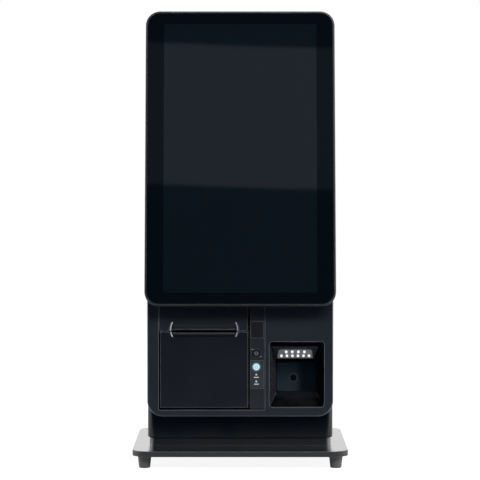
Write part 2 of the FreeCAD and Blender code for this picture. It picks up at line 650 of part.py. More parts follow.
def make_housing():
    outer = slab("housing blank", "XY", "-bodyWidth / 2", "chinY", "bodyWidth", "bodyDepth",
                 "plinthTop", "bodyHeight", "bodyCorner")
    round_edges(outer, "bodyTopEdge", lying_at("z", "Max"))
    round_edges(outer, "bodyBottomEdge", lying_at("z", "Min"))
    inner = slab("housing hollow", "XY", "bodyWall - bodyWidth / 2", "chinInnerY",
                 "bodyWidth - 2 * bodyWall", "bodyDepth - 2 * bodyWall",
                 "plinthTop", "bodyHeight - bodyWall", "bodyCorner - bodyWall")
    front = box("housing front opening", "bezelRim + bezelWall - bodyWidth / 2", "chinY - bodyWall",
                "bezelBottom + bezelRim", "bodyWidth - 2 * (bezelRim + bezelWall)", "3 * bodyWall",
                "bodyTop - bezelBottom - bezelRim - bodyTopEdge - bodyWall")
    sockets = [box(f"housing {name} opening", f"{x} - ({width}) / 2 - socketGap", "bodyRearY - 2 * bodyWall",
                   "socketZ - socketGap", f"{width} + 2 * socketGap", "4 * bodyWall",
                   f"{height} + 2 * socketGap")
               for name, x, width, height in socket_list()]
    cable = rod("housing cable hole", "z", 0,
                "neckFrontY + footSpan / 2",
                "bodyTop - 2 * bodyWall", "cableHoleRadius / 2", "4 * bodyWall")
    vents = []
    for number in range(int(size("ventsPerSide"))):
        near = f"ventMiddle / 2 + {number} * ventPitch"
        for side, sign in (("right", ""), ("left", "-")):
            # each slot leans outwards through the wall, so nothing can be poked straight in
            corners = [(f"{sign}({near} - 2 * ventLean)", "bodyRearY - 2 * bodyWall"),
                       (f"{sign}({near} - 2 * ventLean + ventWidth)", "bodyRearY - 2 * bodyWall"),
                       (f"{sign}({near} + ventLean + ventWidth)", "bodyRearY + bodyWall"),
                       (f"{sign}({near} + ventLean)", "bodyRearY + bodyWall")]
            vents.append(prism(f"housing vent {side} {number}", "XY", corners, "ventBottom", "ventHeight"))
    node(cut("rear_housing", outer, inner, front, *sockets, cable, group("housing vents", vents)))


def socket_list():
    lower = ("inlet", "inletX", "inletWidth", "inletHeight")
    network = ("network", "networkX", "networkWidth", "networkHeight")
    usb = [(f"usb {number}", f"usbX + {number - 1} * usbPitch", "usbWidth", "usbHeight") for number in (1, 2)]
    return [lower, network, *usb]


def make_bezel():
    height = "bodyTop - bezelBottom"
    outer = slab("bezel blank", "XZ", "-bodyWidth / 2", "bezelBottom", "bodyWidth", height,
                 "faceY", "bezelDepth")
    round_edges(outer, "bezelCorner", both(straight_along("y"), lying_at("z", "Min")))
    round_edges(outer, "bezelTopCorner", both(straight_along("y"), lying_at("z", "Max")))
    round_edges(outer, "bezelEdge", lying_at("y", "Min"))
    inner = slab("bezel hollow", "XZ", "bezelWall - bodyWidth / 2", "bezelBottom + bezelWall",
                 "bodyWidth - 2 * bezelWall", f"{height} - 2 * bezelWall", "skinY", "bezelDepth")
    round_edges(inner, "bezelCorner - bezelWall", both(straight_along("y"), lying_at("z", "Min")))
    round_edges(inner, "bezelTopCorner - bezelWall", both(straight_along("y"), lying_at("z", "Max")))
    opening = box("bezel printer opening", "openingLeft", "faceY - bezelWall", "openingBottom",
                  "openingWidth", "3 * bezelWall", "openingHeight")
    bay = slab("bezel bay opening", "XZ", "bayLeft", "bayBottom", "bayWidth", "bayHeight",
               "faceY - bezelWall", "3 * bezelWall", "bayCorner")
    node(cut("front_bezel", outer, inner, opening, bay))


# ---------------------------------------------------------------- ticket scoop

def scoop_barrel(label, extra):
    """The scooped recess: a cylinder along X whose ends are parts of two balls."""
    reach = f"scoopEndRadius + ({extra})"
    tube = rod(f"{label} tube", "x", f"scoopLeft - {reach}", "scoopAxisY", "scoopAxisZ", "scoopRadius",
               f"scoopLength + 2 * ({reach})")
    left = ball(f"{label} left ball", f"scoopLeft - ({extra}) + scoopReach", "scoopAxisY",
                "scoopAxisZ", "scoopEndRadius")
    right = ball(f"{label} right ball", f"scoopRight + ({extra}) - scoopReach", "scoopAxisY",
                 "scoopAxisZ", "scoopEndRadius")
    middle = rod(f"{label} middle", "x", "scoopLeft + scoopReach", "scoopAxisY", "scoopAxisZ",
                 "scoopEndRadius", "scoopLength - 2 * scoopReach")
    return common(label, tube, fuse(f"{label} ends", left, middle, right))


def make_light_guides():
    """Crescent light guides that end the scoop, split at the seam between lid and door."""
    crescent = cut("scoop crescents", scoop_barrel("scoop outer barrel", "guideThickness"),
                   scoop_barrel("scoop inner barrel", "0"))
    guides = (("lid_light_guides", "lidBottom"), ("door_light_guides", "doorTop - 2 * scoopRadius"))
    for label, bottom in guides:
        zone = box(f"{label} zone", "scoopLeft - scoopRadius", "faceY", bottom,
                   "scoopLength + 2 * scoopRadius", "scoopDepth", "2 * scoopRadius")
        node(common(label, crescent, zone))


# ---------------------------------------------------------------- printer door

def make_door():
    skin = slab("door skin", "XZ", "doorLeft", "doorBottom", "doorWidth", "doorHeight", "faceY", "bezelWall")
    round_edges(skin, "panelEdge", lying_at("y", "Min"))
    backing = box("door scoop backing", "scoopLeft - scoopMargin", "skinY", "doorTop - scoopBackingSpan",
                  "scoopLength + 2 * scoopMargin", "scoopBackY - skinY", "scoopBackingSpan")
    knuckles = []
    sides = (("left", "frameLeftInner + slipGap"), ("right", "doorRight - slipGap - knuckleLength"))
    for side, start in sides:
        knuckles.append(rod(f"door {side} knuckle", "x", start, "hingeY", "hingeZ", "knuckleRadius",
                            "knuckleLength"))
        knuckles.append(box(f"door {side} knuckle web", start, "skinY", "hingeZ - knuckleRadius / 2",
                            "knuckleLength", "hingeY - skinY", "knuckleRadius"))
    strike = prism("door lock strike", "YZ",
                   [("skinY", "strikeBottom"), ("camBackY + slipGap", "strikeBottom"),
                    ("camBackY + slipGap", "lockRise - camWidth / 2"),
                    ("strikeBackY", "lockRise - camWidth / 2"), ("strikeBackY", "strikeBottom + strikeArm"),
                    ("skinY", "strikeBottom + strikeArm")],
                   "doorRight - strikeWidth - 2 * slipGap", "strikeWidth")
    bore = rod("door hinge bore", "x", "doorLeft", "hingeY", "hingeZ", "hingePinRadius + shaftGap",
               "doorWidth")
    slot = ticket_slot("door ticket slot", "doorTop - slotDrop", "slotDrop + slipGap")
    node(cut("printer_door", fuse("door shell", skin, backing, strike, *knuckles), bore,
             scoop_barrel("door scoop", "guideThickness"), slot))
    left_pin = rod("left hinge pin", "x", "frameLeft", "hingeY", "hingeZ", "hingePinRadius",
                   "sheetThickness + slipGap + knuckleLength")
    right_pin = rod("right hinge pin", "x", "doorRight - slipGap - knuckleLength", "hingeY", "hingeZ",
                    "hingePinRadius", "frameRight - doorRight + slipGap + knuckleLength")
    node(group("hinge_pins", [left_pin, right_pin]))


def ticket_slot(label, bottom, height):
    return box(label, "scoopMiddle - slotLength / 2", "faceY - bezelWall", bottom, "slotLength",
               "scoopBacking + 2 * bezelWall", height)


def make_liner():
    """The inner shell of the door, which carries the platen, the fixed blade and the catch."""
    panel_back = "skinY + linerPanel"
    panel = box("liner panel", "linerLeft", "skinY", "linerPanelBottom", "linerRight - linerLeft",
                "linerPanel", "doorTop - scoopBackingSpan - linerPanelBottom")
    walls = []
    for side, x in (("left", "linerLeft"), ("right", "linerRightInner")):
        walls.append(prism(f"liner {side} wall", "YZ",
                           [("skinY", "linerBottom - linerDepth"), ("linerBackY", "linerBottom"),
                            ("linerBackY", "bladeFloor"), ("scoopBackY + slipGap", "bladeFloor"),
                            ("scoopBackY + slipGap", "doorTop - scoopBackingSpan"),
                            ("skinY", "doorTop - scoopBackingSpan")], x, "linerWall"))
    catch = rod("catch pin", "x", "linerRightInner", "catchY", "catchHeight", "catchRadius",
                "linerWall + catchLength")
    bore = rod("platen bore", "x", "linerLeft - linerWall", "platenY", "platenHeight",
               "platenShaftRadius + shaftGap", "linerRight - linerLeft + 2 * linerWall")
    blade_seat = box("fixed blade seat", "linerLeft", "cutLineY - fixedBladeDepth",
                     "bladeFloor - bladeThickness", "linerRight - linerLeft", "fixedBladeDepth",
                     "bladeThickness")
    ribs = [box(f"liner rib {number}", f"linerLeft + ({number} * (linerRight - linerLeft) / 4)", panel_back,
                "linerPanelBottom", "linerWall", "linerPanel", "linerBottom - linerDepth - linerPanelBottom")
            for number in (1, 2, 3)]
    node(cut("door_liner", fuse("liner shell", panel, *walls, catch, *ribs), bore, blade_seat))
    blade = prism("fixed_blade", "YZ",
                  [("cutLineY - fixedBladeDepth", "bladeFloor - bladeThickness"),
                   ("cutLineY - bladeThickness", "bladeFloor - bladeThickness"),
                   ("cutLineY", "bladeFloor"), ("cutLineY - fixedBladeDepth", "bladeFloor")],
                  "linerLeft", "linerRight - linerLeft")
    node(blade)


def make_platen():
    shaft = rod("platen_shaft", "x", "gearLeft - slipGap", "platenY", "platenHeight", "platenShaftRadius",
                "linerRight - gearLeft + slipGap + gearSideGap")
    node(shaft)
    sleeve = rod("platen sleeve blank", "x", "platenLeft", "platenY", "platenHeight", "platenRadius",
                 "platenLength")
    core = rod("platen sleeve bore", "x", "platenLeft", "platenY", "platenHeight", "platenShaftRadius",
               "platenLength")
    node(cut("platen_sleeve", sleeve, core))


# ---------------------------------------------------------------- printer lid

def make_lid():
    skin = slab("lid skin", "XZ", "lidLeft", "lidBottom", "lidWidth", "lidHeight", "faceY", "bezelWall")
    round_edges(skin, "panelEdge", lying_at("y", "Min"))
    backing = box("lid scoop backing", "scoopLeft - scoopMargin", "skinY", "lidBottom",
                  "scoopLength + 2 * scoopMargin", "scoopBackY - skinY", "scoopBackingSpan + scoopMargin")
    top_tab = box("lid top tab", "lidLeft", "skinY", "lidTop - tabReach", "lidWidth", "tabThickness",
                  "openingTop - lidTop + 2 * tabReach")
    side_tab = box("lid side tab", "openingLeft - tabReach", "skinY", "lidBottom + 2 * tabReach",
                   "lidLeft - openingLeft + 2 * tabReach", "tabThickness",
                   "openingTop + tabReach - lidBottom - 2 * tabReach")
    slot = ticket_slot("lid ticket slot", "lidBottom - slipGap", "slotRise + slipGap")
    bar_x = "scoopMiddle - tearBarLength / 2"
    bar_y = "scoopBackY - tearBarDepth"
    bar_z = "lidBottom + slotRise"
    bar = box("tear bar blank", bar_x, bar_y, bar_z, "tearBarLength", "tearBarDepth", "tearBarHeight")
    notches = [box(f"tear bar notch {number}",
                   f"scoopMiddle + ({number} - 0.5) * tearNotchGap - tearNotchWidth / 2",
                   bar_y, bar_z, "tearNotchWidth", "tearNotchDepth", "tearBarHeight") for number in (0, 1)]
    node(cut("tear_bar", bar, group("tear bar notches", notches)))
    seat = box("tear bar seat", bar_x, bar_y, bar_z, "tearBarLength", "tearBarDepth", "tearBarHeight")
    node(cut("printer_lid", fuse("lid shell", skin, backing, top_tab, side_tab),
             scoop_barrel("lid scoop", "guideThickness"), slot, seat))


# ---------------------------------------------------------------- printer frame

def make_printer_frame():
    plates = []
    front = [("frameFrontY", "hingeZ + earRadius"), ("hingeY", "hingeZ + earRadius"),
             ("hingeY", "hingeZ - earRadius"), ("chinInnerY + 2 * fitGap", "hingeZ - earRadius"),
             ("chinInnerY + 2 * fitGap", "panTop")]
    rear = [("frameRear", "panTop"), ("frameRear", "frameTop"), ("frameFrontY", "frameTop")]
    for side, x in (("left", "frameLeft"), ("right", "frameRightInner")):
        plates.append(prism(f"frame {side} plate", "YZ", front + rear, x, "sheetThickness"))
        plates.append(rod(f"frame {side} ear", "x", x, "hingeY", "hingeZ", "earRadius", "sheetThickness"))
    mount = rod("motor mount", "x", "frameLeft", "motorY", "motorZ", "motorRadius", "sheetThickness")
    floor = box("frame floor", "frameLeft", "chinInnerY + 2 * fitGap", "frameFloor", "frameRight - frameLeft",
                "frameRear - chinInnerY - 2 * fitGap", "sheetThickness")
    crossbar = box("print head crossbar", "frameLeft", "crossbarY", "crossbarBottom", "frameRight - frameLeft",
                   "crossbarDepth", "crossbarLowTop - crossbarBottom")
    crossbar_top = box("print head crossbar top", "gearRight + gearSideGap", "crossbarY", "crossbarBottom",
                       "frameRight - gearRight - gearSideGap", "crossbarDepth",
                       "guideFloor - crossbarBottom")
    idler_pin = rod("idler pin", "x", "frameLeft", "idlerY", "idlerZ", "idlerPinRadius",
                    "gearRight - frameLeft + gearSideGap")
    idler_mount = rod("idler mount", "x", "frameLeft", "idlerY", "idlerZ", "idlerMountRadius",
                      "sheetThickness")
    hinge_bore = rod("frame hinge bore", "x", "frameLeft", "hingeY", "hingeZ", "hingePinRadius",
                     "frameRight - frameLeft")
    lever_bore = rod("frame lever bore", "x", "frameRightInner", "leverY", "leverZ",
                     "leverShaftRadius + shaftGap", "sheetThickness")
    motor_bore = rod("frame motor bore", "x", "frameLeft", "motorY", "motorZ", "motorBossRadius + slipGap",
                     "sheetThickness")
    cam_window = box("frame cam window", "frameRightInner - slipGap", "camFrontY - slipGap",
                     "lockRise - camLength - slipGap", "sheetThickness + 2 * slipGap",
                     "camThickness + 2 * slipGap", "camLength + camWidth / 2 + 2 * slipGap")
    shell = fuse("printer frame shell", *plates, mount, floor, crossbar, crossbar_top, idler_pin, idler_mount)
    node(cut("printer_frame", shell, hinge_bore, lever_bore, motor_bore, cam_window))


def make_paper():
    outer = box("bin blank", "binLeft", "binFrontY", "binFloor", "binInnerWidth + 2 * binWall",
                "binInnerDepth + binWall", "binHeight")
    inner = box("bin hollow", "binLeft + binWall", "binFrontY - binWall", "binFloor + binWall",
                "binInnerWidth", "binInnerDepth + binWall", "binHeight")
    node(cut("paper_bin", outer, inner))
    roll_start = "platenMiddle - rollWidth / 2"
    roll = rod("roll blank", "x", roll_start, "rollMiddleY", "rollZ", "rollRadius", "rollWidth")
    core = rod("roll core hole", "x", roll_start, "rollMiddleY", "rollZ", "coreRadius", "rollWidth")
    node(cut("paper_roll", roll, core))


def make_print_head():
    """The thermal bar, its finned heat sink and the springs that press it to the platen."""
    node(box("print_head", "platenLeft", "headBarY", "headBarBottom", "platenLength", "headBarDepth",
             "headBarHeight"))
    base = box("sink base", "platenLeft", "sinkY", "headBarBottom", "platenLength", "sinkBase",
               "headBarHeight")
    fins = []
    for number in range(int(size("finCount"))):
        share = number / (size("finCount") - 1)
        fins.append(box(f"sink fin {number}", f"platenLeft + {share} * (platenLength - finThickness)",
                        "sinkY", "headBarBottom", "finThickness", "sinkDepth", "headBarHeight"))
    node(fuse("head_heat_sink", base, *fins))
    springs = []
    for number, way in enumerate((-1, 1), start=1):
        springs.append(rod(f"head spring {number}", "y", f"platenMiddle + {way} * springSpread / 2",
                           "sinkBackY", "headBarBottom + headBarHeight / 2", "springRadius", "springSpace"))
    node(group("head_springs", springs))


# ---------------------------------------------------------------- feed train

def make_feed_train():
    width = size("gearWidth")
    counts = ("platenTeeth", "idlerTeeth", "motorTeeth")
    platen_teeth, idler_teeth, motor_teeth = (int(size(name)) for name in counts)
    idler_turn = meshing_turn(0, platen_teeth, idler_teeth, size("idlerDirection"))
    motor_turn = meshing_turn(idler_turn, idler_teeth, motor_teeth, size("motorDirection"))
    platen_gear = gear_shape(platen_teeth, width, size("platenShaftRadius"))
    node(shaped("platen_gear", platen_gear, "gearLeft", "platenY", "platenHeight", ALONG_X))
    idler = gear_shape(idler_teeth, width, size("idlerPinRadius") + size("shaftGap"), idler_turn)
    node(shaped("idler_gear", idler, "gearLeft", "idlerY", "idlerZ", ALONG_X))
    motor_gear = shaped("motor gear teeth", gear_shape(motor_teeth, width, 0, motor_turn),
                        "gearLeft", "motorY", "motorZ", ALONG_X)
    shaft = rod("motor shaft", "x", "frameLeft - motorLength / 2", "motorY", "motorZ", "motorShaftRadius",
                "gearLeft - frameLeft + motorLength / 2")
    node(fuse("motor_gear", motor_gear, shaft))
    can = rod("motor can", "x", "frameLeft - motorLength", "motorY", "motorZ", "motorRadius", "motorLength")
    boss = rod("motor boss", "x", "frameLeft", "motorY", "motorZ", "motorBossRadius", "sheetThickness")
    bore = rod("motor bore", "x", "frameLeft - motorLength / 2", "motorY", "motorZ",
               "motorShaftRadius + shaftGap", "motorLength")
    node(cut("stepper_motor", fuse("motor shell", can, boss), bore))


# ---------------------------------------------------------------- cutter

def make_cutter():
    """A guillotine blade slides forward over the fixed blade, driven by a rack and pinion."""
    guide = box("cutter guide sheet", "linerLeftInner", "guideFrontY", "guideFloor",
                "frameRightInner - linerLeftInner", "cutterGuideDepth", "cutterGuideThickness")
    shelf = box("cutter motor shelf", "pinionX - cutterMotorRadius", "guideFrontY", "guideFloor",
                "2 * cutterMotorRadius",
                "pinionY - guideFrontY + cutterMotorRadius", "cutterGuideThickness")
    post = rod("cutter pinion post", "z", "pinionX", "pinionY", "guideFloor",
               "cutterShaftRadius", "cutterGuideThickness + pinionHeight + cutterHousingGap")
    node(fuse("cutter_guide", guide, shelf, post))
    blade = box("blade sheet", "platenMiddle - bladeLength / 2", "bladeFrontY", "bladeBottom", "bladeLength",
                "bladeDepth", "bladeThickness")
    module = size("gearModule")
    pitch = math.pi * module
    length = size("rackLength")
    count = int(length / pitch)
    start = size("pinionSetback") - count // 2 * pitch
    half_root, half_tip = size("rootShare") * pitch, size("tipShare") * pitch
    root, tip = size("toothRoot") * module, -size("toothTip") * module
    points = [Vector(size("rackWidth"), 0, 0), Vector(root, 0, 0)]
    for tooth in range(2 * count):
        centre = start + tooth * pitch
        if centre - half_root > 0 and centre + half_root < length:
            points += [Vector(root, centre - half_root, 0), Vector(tip, centre - half_tip, 0),
                       Vector(tip, centre + half_tip, 0), Vector(root, centre + half_root, 0)]
    points += [Vector(root, length, 0), Vector(size("rackWidth"), length, 0)]
    rack_shape = Part.Face(Part.makePolygon(points + points[:1])).extrude(Vector(0, 0, size("bladeThickness")))
    rack = shaped("blade rack", rack_shape, "rackLineX", "bladeBackY", "bladeBottom")
    node(fuse("cutter_blade", blade, rack))
    teeth = int(size("pinionTeeth"))
    pinion = gear_shape(teeth, size("pinionHeight"), size("cutterShaftRadius") + size("shaftGap"), 180 / teeth)
    node(shaped("cutter_pinion", pinion, "pinionX", "pinionY", "bladeBottom"))
    motor_floor = "bladeFloor + pinionHeight + cutterHousingGap"
    node(rod("cutter_motor", "z", "pinionX", "pinionY", motor_floor, "cutterMotorRadius", "cutterMotorHeight"))


# ---------------------------------------------------------------- latch

def make_latch():
    """One lever: a hook over the door's catch pin and a tab that the release button pushes."""
    hub = rod("lever hub", "x", "hookLeft", "leverY", "leverZ", "leverHubRadius", "hookWidth")
    arm = prism("lever hook", "YZ",
                [("noseY", "hookBottom"), ("noseY + hookNose", "hookBottom"),
                 ("noseY + hookNose", "hookBottom + hookNoseDrop"), ("leverY", "hookBottom + hookNoseDrop"),
                 ("leverY", "hookBottom + hookThickness"), ("noseY", "hookBottom + hookThickness")],
                "hookLeft", "hookWidth")
    shaft = rod("lever shaft", "x", "hookLeft - leverShaftEnd", "leverY", "leverZ", "leverShaftRadius",
                "stripMiddle + leverTabWidth / 2 - hookLeft + 2 * leverShaftEnd")
    tab_left = "stripMiddle - leverTabWidth / 2"
    tab_hub = rod("lever tab hub", "x", tab_left, "leverY", "leverZ", "leverHubRadius", "leverTabWidth")
    tab_arm = box("lever tab arm", tab_left, "tabY", "tabBottom", "leverTabWidth", "leverY - tabY",
                  "leverArmHeight")
    tab = box("lever tab", tab_left, "tabY", "tabBottom", "leverTabWidth", "leverTabThickness",
              "tabTop - tabBottom")
    node(fuse("latch_lever", hub, arm, shaft, tab_hub, tab_arm, tab))


# ---------------------------------------------------------------- key strip

def make_strip():
    skin = slab("strip skin", "XZ", "stripLeft", "stripBottom", "stripWidth", "lidTop - stripBottom", "faceY",
                "bezelWall")
    round_edges(skin, "panelEdge", lying_at("y", "Min"))
    tab = box("strip tab", "stripLeft + stripBackLeft", "skinY", "openingBottom - tabReach",
              "bayLeft - bayFlange - slipGap - stripLeft - stripBackLeft", "tabThickness",
              "openingHeight + 2 * tabReach")
    front = "faceY - overshoot"
    button = slab("strip button hole", "XZ", "buttonLeft - fitGap", "buttonBottom - fitGap",
                  "buttonWidth + 2 * fitGap", "buttonHeight + 2 * fitGap", front,
                  "stripDepth + 2 * overshoot", "buttonCorner + fitGap")
    lock = rod("strip lock hole", "y", "stripMiddle", front, "lockRise", "lockBodyRadius + shaftGap",
               "stripDepth + 2 * overshoot")
    lock_seat = rod("strip lock seat", "y", "stripMiddle", front, "lockRise",
                    "lockFlangeRadius + shaftGap", "overshoot + lockFlange")
    status = box("strip status window", "statusLeft - shaftGap", front, "statusBottom - shaftGap",
                 "statusWidth + 2 * shaftGap", "statusThickness - statusProud + overshoot",
                 "statusHeight + 2 * shaftGap")
    status_back = box("strip status back", "statusLeft + statusLip", "faceY", "statusBottom + statusLip",
                      "statusWidth - 2 * statusLip", "stripDepth + overshoot", "statusHeight - 2 * statusLip")
    node(cut("strip_panel", fuse("strip shell", skin, tab), button, lock, lock_seat, status, status_back))


def make_release_button():
    cap = slab("release button cap", "XZ", "buttonLeft", "buttonBottom", "buttonWidth", "buttonHeight",
               "buttonFrontY", "buttonDepth", "buttonCorner")
    round_edges(cap, "buttonEdge", lying_at("y", "Min"))
    stem_start = "buttonFrontY + buttonDepth - stemRoot"
    stem_end = "tabY - slipGap - stemRadius"
    stem = rod("release button stem", "y", "stripMiddle", stem_start, "stemZ", "stemRadius",
               f"{stem_end} - ({stem_start})")
    tip = ball("release button tip", "stripMiddle", stem_end, "stemZ", "stemRadius")
    lip = box("release button lip", "buttonLeft - buttonLip", "tabBackY + fitGap", "buttonBottom - buttonLip",
              "buttonWidth + 2 * buttonLip", "buttonLip", "buttonHeight + 2 * buttonLip")
    node(fuse("release_button", cap, lip, stem, tip))


def make_lock():
    flange = rod("lock flange", "y", "stripMiddle", "faceY", "lockRise", "lockFlangeRadius", "lockFlange")
    barrel = rod("lock body", "y", "stripMiddle", "faceY", "lockRise", "lockBodyRadius", "lockLength")
    bore = rod("lock bore", "y", "stripMiddle", "faceY - overshoot", "lockRise", "lockPlugRadius + shaftGap",
               "lockLength + 2 * overshoot")
    node(cut("lock_barrel", fuse("lock shell", flange, barrel), bore))
    plug = rod("lock plug blank", "y", "stripMiddle", "faceY", "lockRise", "lockPlugRadius",
               "lockLength + slipGap")
    keyway = box("lock keyway", "stripMiddle - keyWidth / 2", "faceY - overshoot", "lockRise - keyHeight / 2",
                 "keyWidth", "keyDepth + overshoot", "keyHeight")
    node(cut("lock_plug", plug, keyway))
    cam_disc = rod("lock cam disc", "y", "stripMiddle", "camFrontY", "lockRise", "camWidth / 2",
                   "camThickness")
    cam_arm = box("lock cam arm", "stripMiddle - camWidth / 2", "camFrontY", "lockRise - camLength",
                  "camWidth", "camThickness", "camLength")
    node(fuse("lock_cam", cam_disc, cam_arm))


def status_bore(label, height, radius):
    return rod(label, "y", "stripMiddle", "statusFrontY - overshoot", height, radius,
               "statusThickness + 2 * overshoot")


def make_status_panel():
    plate = slab("status plate", "XZ", "statusLeft", "statusBottom", "statusWidth", "statusHeight",
                 "statusFrontY", "statusThickness", "statusCorner")
    lamps = []
    holes = [status_bore("status ring hole", "powerHeight", "powerRadius + powerRingWidth")]
    for name, height in (("fault", "lampHigh"), ("ready", "lampLow")):
        holes.append(status_bore(f"{name} lamp hole", height, "lampRadius"))
        lamps.append(rod(f"{name} lamp", "y", "stripMiddle", "statusFrontY - lampProud", height, "lampRadius",
                         "lampLength"))
    node(cut("status_panel", plate, group("status holes", holes)))
    ring = rod("power ring blank", "y", "stripMiddle", "statusFrontY", "powerHeight",
               "powerRadius + powerRingWidth", "statusThickness")
    ring_bore = status_bore("power ring bore", "powerHeight", "powerRadius + shaftGap")
    node(group("status_light_guides", [cut("power ring", ring, ring_bore), *lamps]))
    button = rod("power button cap", "y", "stripMiddle", "statusFrontY - powerProud", "powerHeight",
                 "powerRadius", "powerLength")
    flange = rod("power button flange", "y", "stripMiddle", "statusFrontY + statusThickness + slipGap",
                 "powerHeight", "powerRadius + powerRingWidth / 2", "powerFlange")
    node(fuse("power_button", button, flange))


# ---------------------------------------------------------------- scanner bay

def funnel(label, grow, front_y, back_extra):
    """A four-sided funnel from the bay's mouth to its back window."""
    thing = new("Part::Wedge", label)
    bind(thing, Xmin=f"bayLeft - ({grow})", Xmax=f"bayLeft + bayWidth + ({grow})",
         Zmin=f"bayBottom - ({grow})", Zmax=f"bayTop + ({grow})",
         X2min=f"bayBackLeft - ({grow})", X2max=f"bayBackLeft + bayBackWidth + ({grow})",
         Z2min=f"bayBackBottom - ({grow})", Z2max=f"bayBackTop + ({grow})",
         Ymin=front_y, Ymax=f"bayBackY + ({back_extra})")
    return thing


def bay_back_box(label, grow, start, depth):
    return box(label, f"bayBackLeft - ({grow})", start, f"bayBackBottom - ({grow})",
               f"bayBackWidth + 2 * ({grow})", depth, f"bayBackHeight + 2 * ({grow})")


def make_bay():
    outer = funnel("bay outer", "bayWall", "skinY", "0")
    inner = funnel("bay inner", "0", "skinY", "0")
    flange = slab("bay flange", "XZ", "bayLeft - bayFlange", "bayBottom - bayFlange",
                  "bayWidth + 2 * bayFlange", "bayHeight + 2 * bayFlange", "skinY", "bayFlangeThickness",
                  "bayCorner")
    sleeve = bay_back_box("bay sleeve", "bayWall", "bayBackY", "sleeveDepth")
    bore = bay_back_box("bay sleeve bore", "-bayWall / 2", "bayBackY", "sleeveDepth")
    seat = bay_back_box("bay window seat", "shaftGap", "bayBackY", "windowThickness")
    node(cut("bay_shroud", fuse("bay shell", outer, flange, sleeve), inner, bore, seat))
    node(bay_back_box("scan_window", "0", "bayBackY", "windowThickness"))
    engine = box("engine block", "bayBackLeft - bayWall", "sleeveBackY", "bayBackBottom - bayWall",
                 "bayBackWidth + 2 * bayWall", "engineDepth", "bayBackHeight + 2 * bayWall")
    step = box("engine step", "bayBackLeft - bayWall", "sleeveBackY + engineDepth / 2",
               "bayBackTop + bayWall - engineStep", "bayBackWidth + 2 * bayWall", "engineDepth",
               "2 * engineStep")
    node(cut("scan_engine", engine, step))
    barrel = rod("lens barrel", "y", "lensX", "sleeveBackY - lensLength", "lensZ", "lensRadius", "lensLength")
    pupil = cone("lens pupil", "y", "lensX", "sleeveBackY - lensLength", "lensZ", "lensGlassRadius",
                 "lensPupilRadius", "lensGlassDepth")
    node(cut("scan_lens", barrel, pupil))


def on_slope(thing, lift):
    """Lays a flat piece on the bay's sloping roof: local X across, -Y down the slope, -Z into the bay."""
    thing.Placement = FreeCAD.Placement(Vector(), Rotation(Vector(-1, 0, 0), size("baySlope")))
    bind(thing, **{"Placement.Rotation.Angle": "baySlope"})
    return place(thing, "bayMiddle - lightBarShift", f"skinY - ({lift}) * sin(baySlope)",
                 f"bayTop - ({lift}) * cos(baySlope)")


def tapered(label, top, low, start, length, thickness):
    return prism(label, "XY", [(f"-({top}) / 2", start), (f"({top}) / 2", start),
                               (f"({low}) / 2", f"({start}) + ({length})"),
                               (f"-({low}) / 2", f"({start}) + ({length})")], f"-({thickness})", thickness)


def make_light_bar():
    bar = tapered("light_bar", "lightBarTop", "lightBarLow", "lightBarStart", "lightBarLength",
                  "lightBarThickness")
    node(on_slope(bar, "0"))
    diffuser_start = "lightBarStart + diffuserStart"
    blank = tapered("diffuser blank", "diffuserTop", "diffuserLow", diffuser_start, "diffuserLength",
                    "diffuserThickness")
    round_edges(blank, "diffuserCorner", both(straight_along("z"), lying_at("y", "Min")))
    lamps = []
    holes = []
    for row in ("ledUpper", "ledLower"):
        count = int(size(row + "Count"))
        for number in range(count):
            x = f"({number} - ({count} - 1) / 2) * {row}Pitch"
            y = f"lightBarStart + {row}Start"
            lamps.append(rod(f"{row} lamp {number}", "z", x, y, "-diffuserThickness - ledProud",
                             "ledRadius", "diffuserThickness + ledProud"))
            holes.append(rod(f"{row} hole {number}", "z", x, y, "-diffuserThickness - ledProud",
                             "ledRadius + shaftGap", "diffuserThickness + 2 * ledProud"))
    node(on_slope(cut("light_diffuser", blank, group("diffuser holes", holes)), "lightBarThickness"))
    node(on_slope(group("light_leds", lamps), "lightBarThickness"))


# ---------------------------------------------------------------- display head

def centred(label, width, height, start, depth, corner=None):
    """A slab of the display head, centred across it and up it."""
    return slab(label, "XZ", f"-({width}) / 2", f"(headHeight - ({height})) / 2", width, height, start, depth,
                corner)


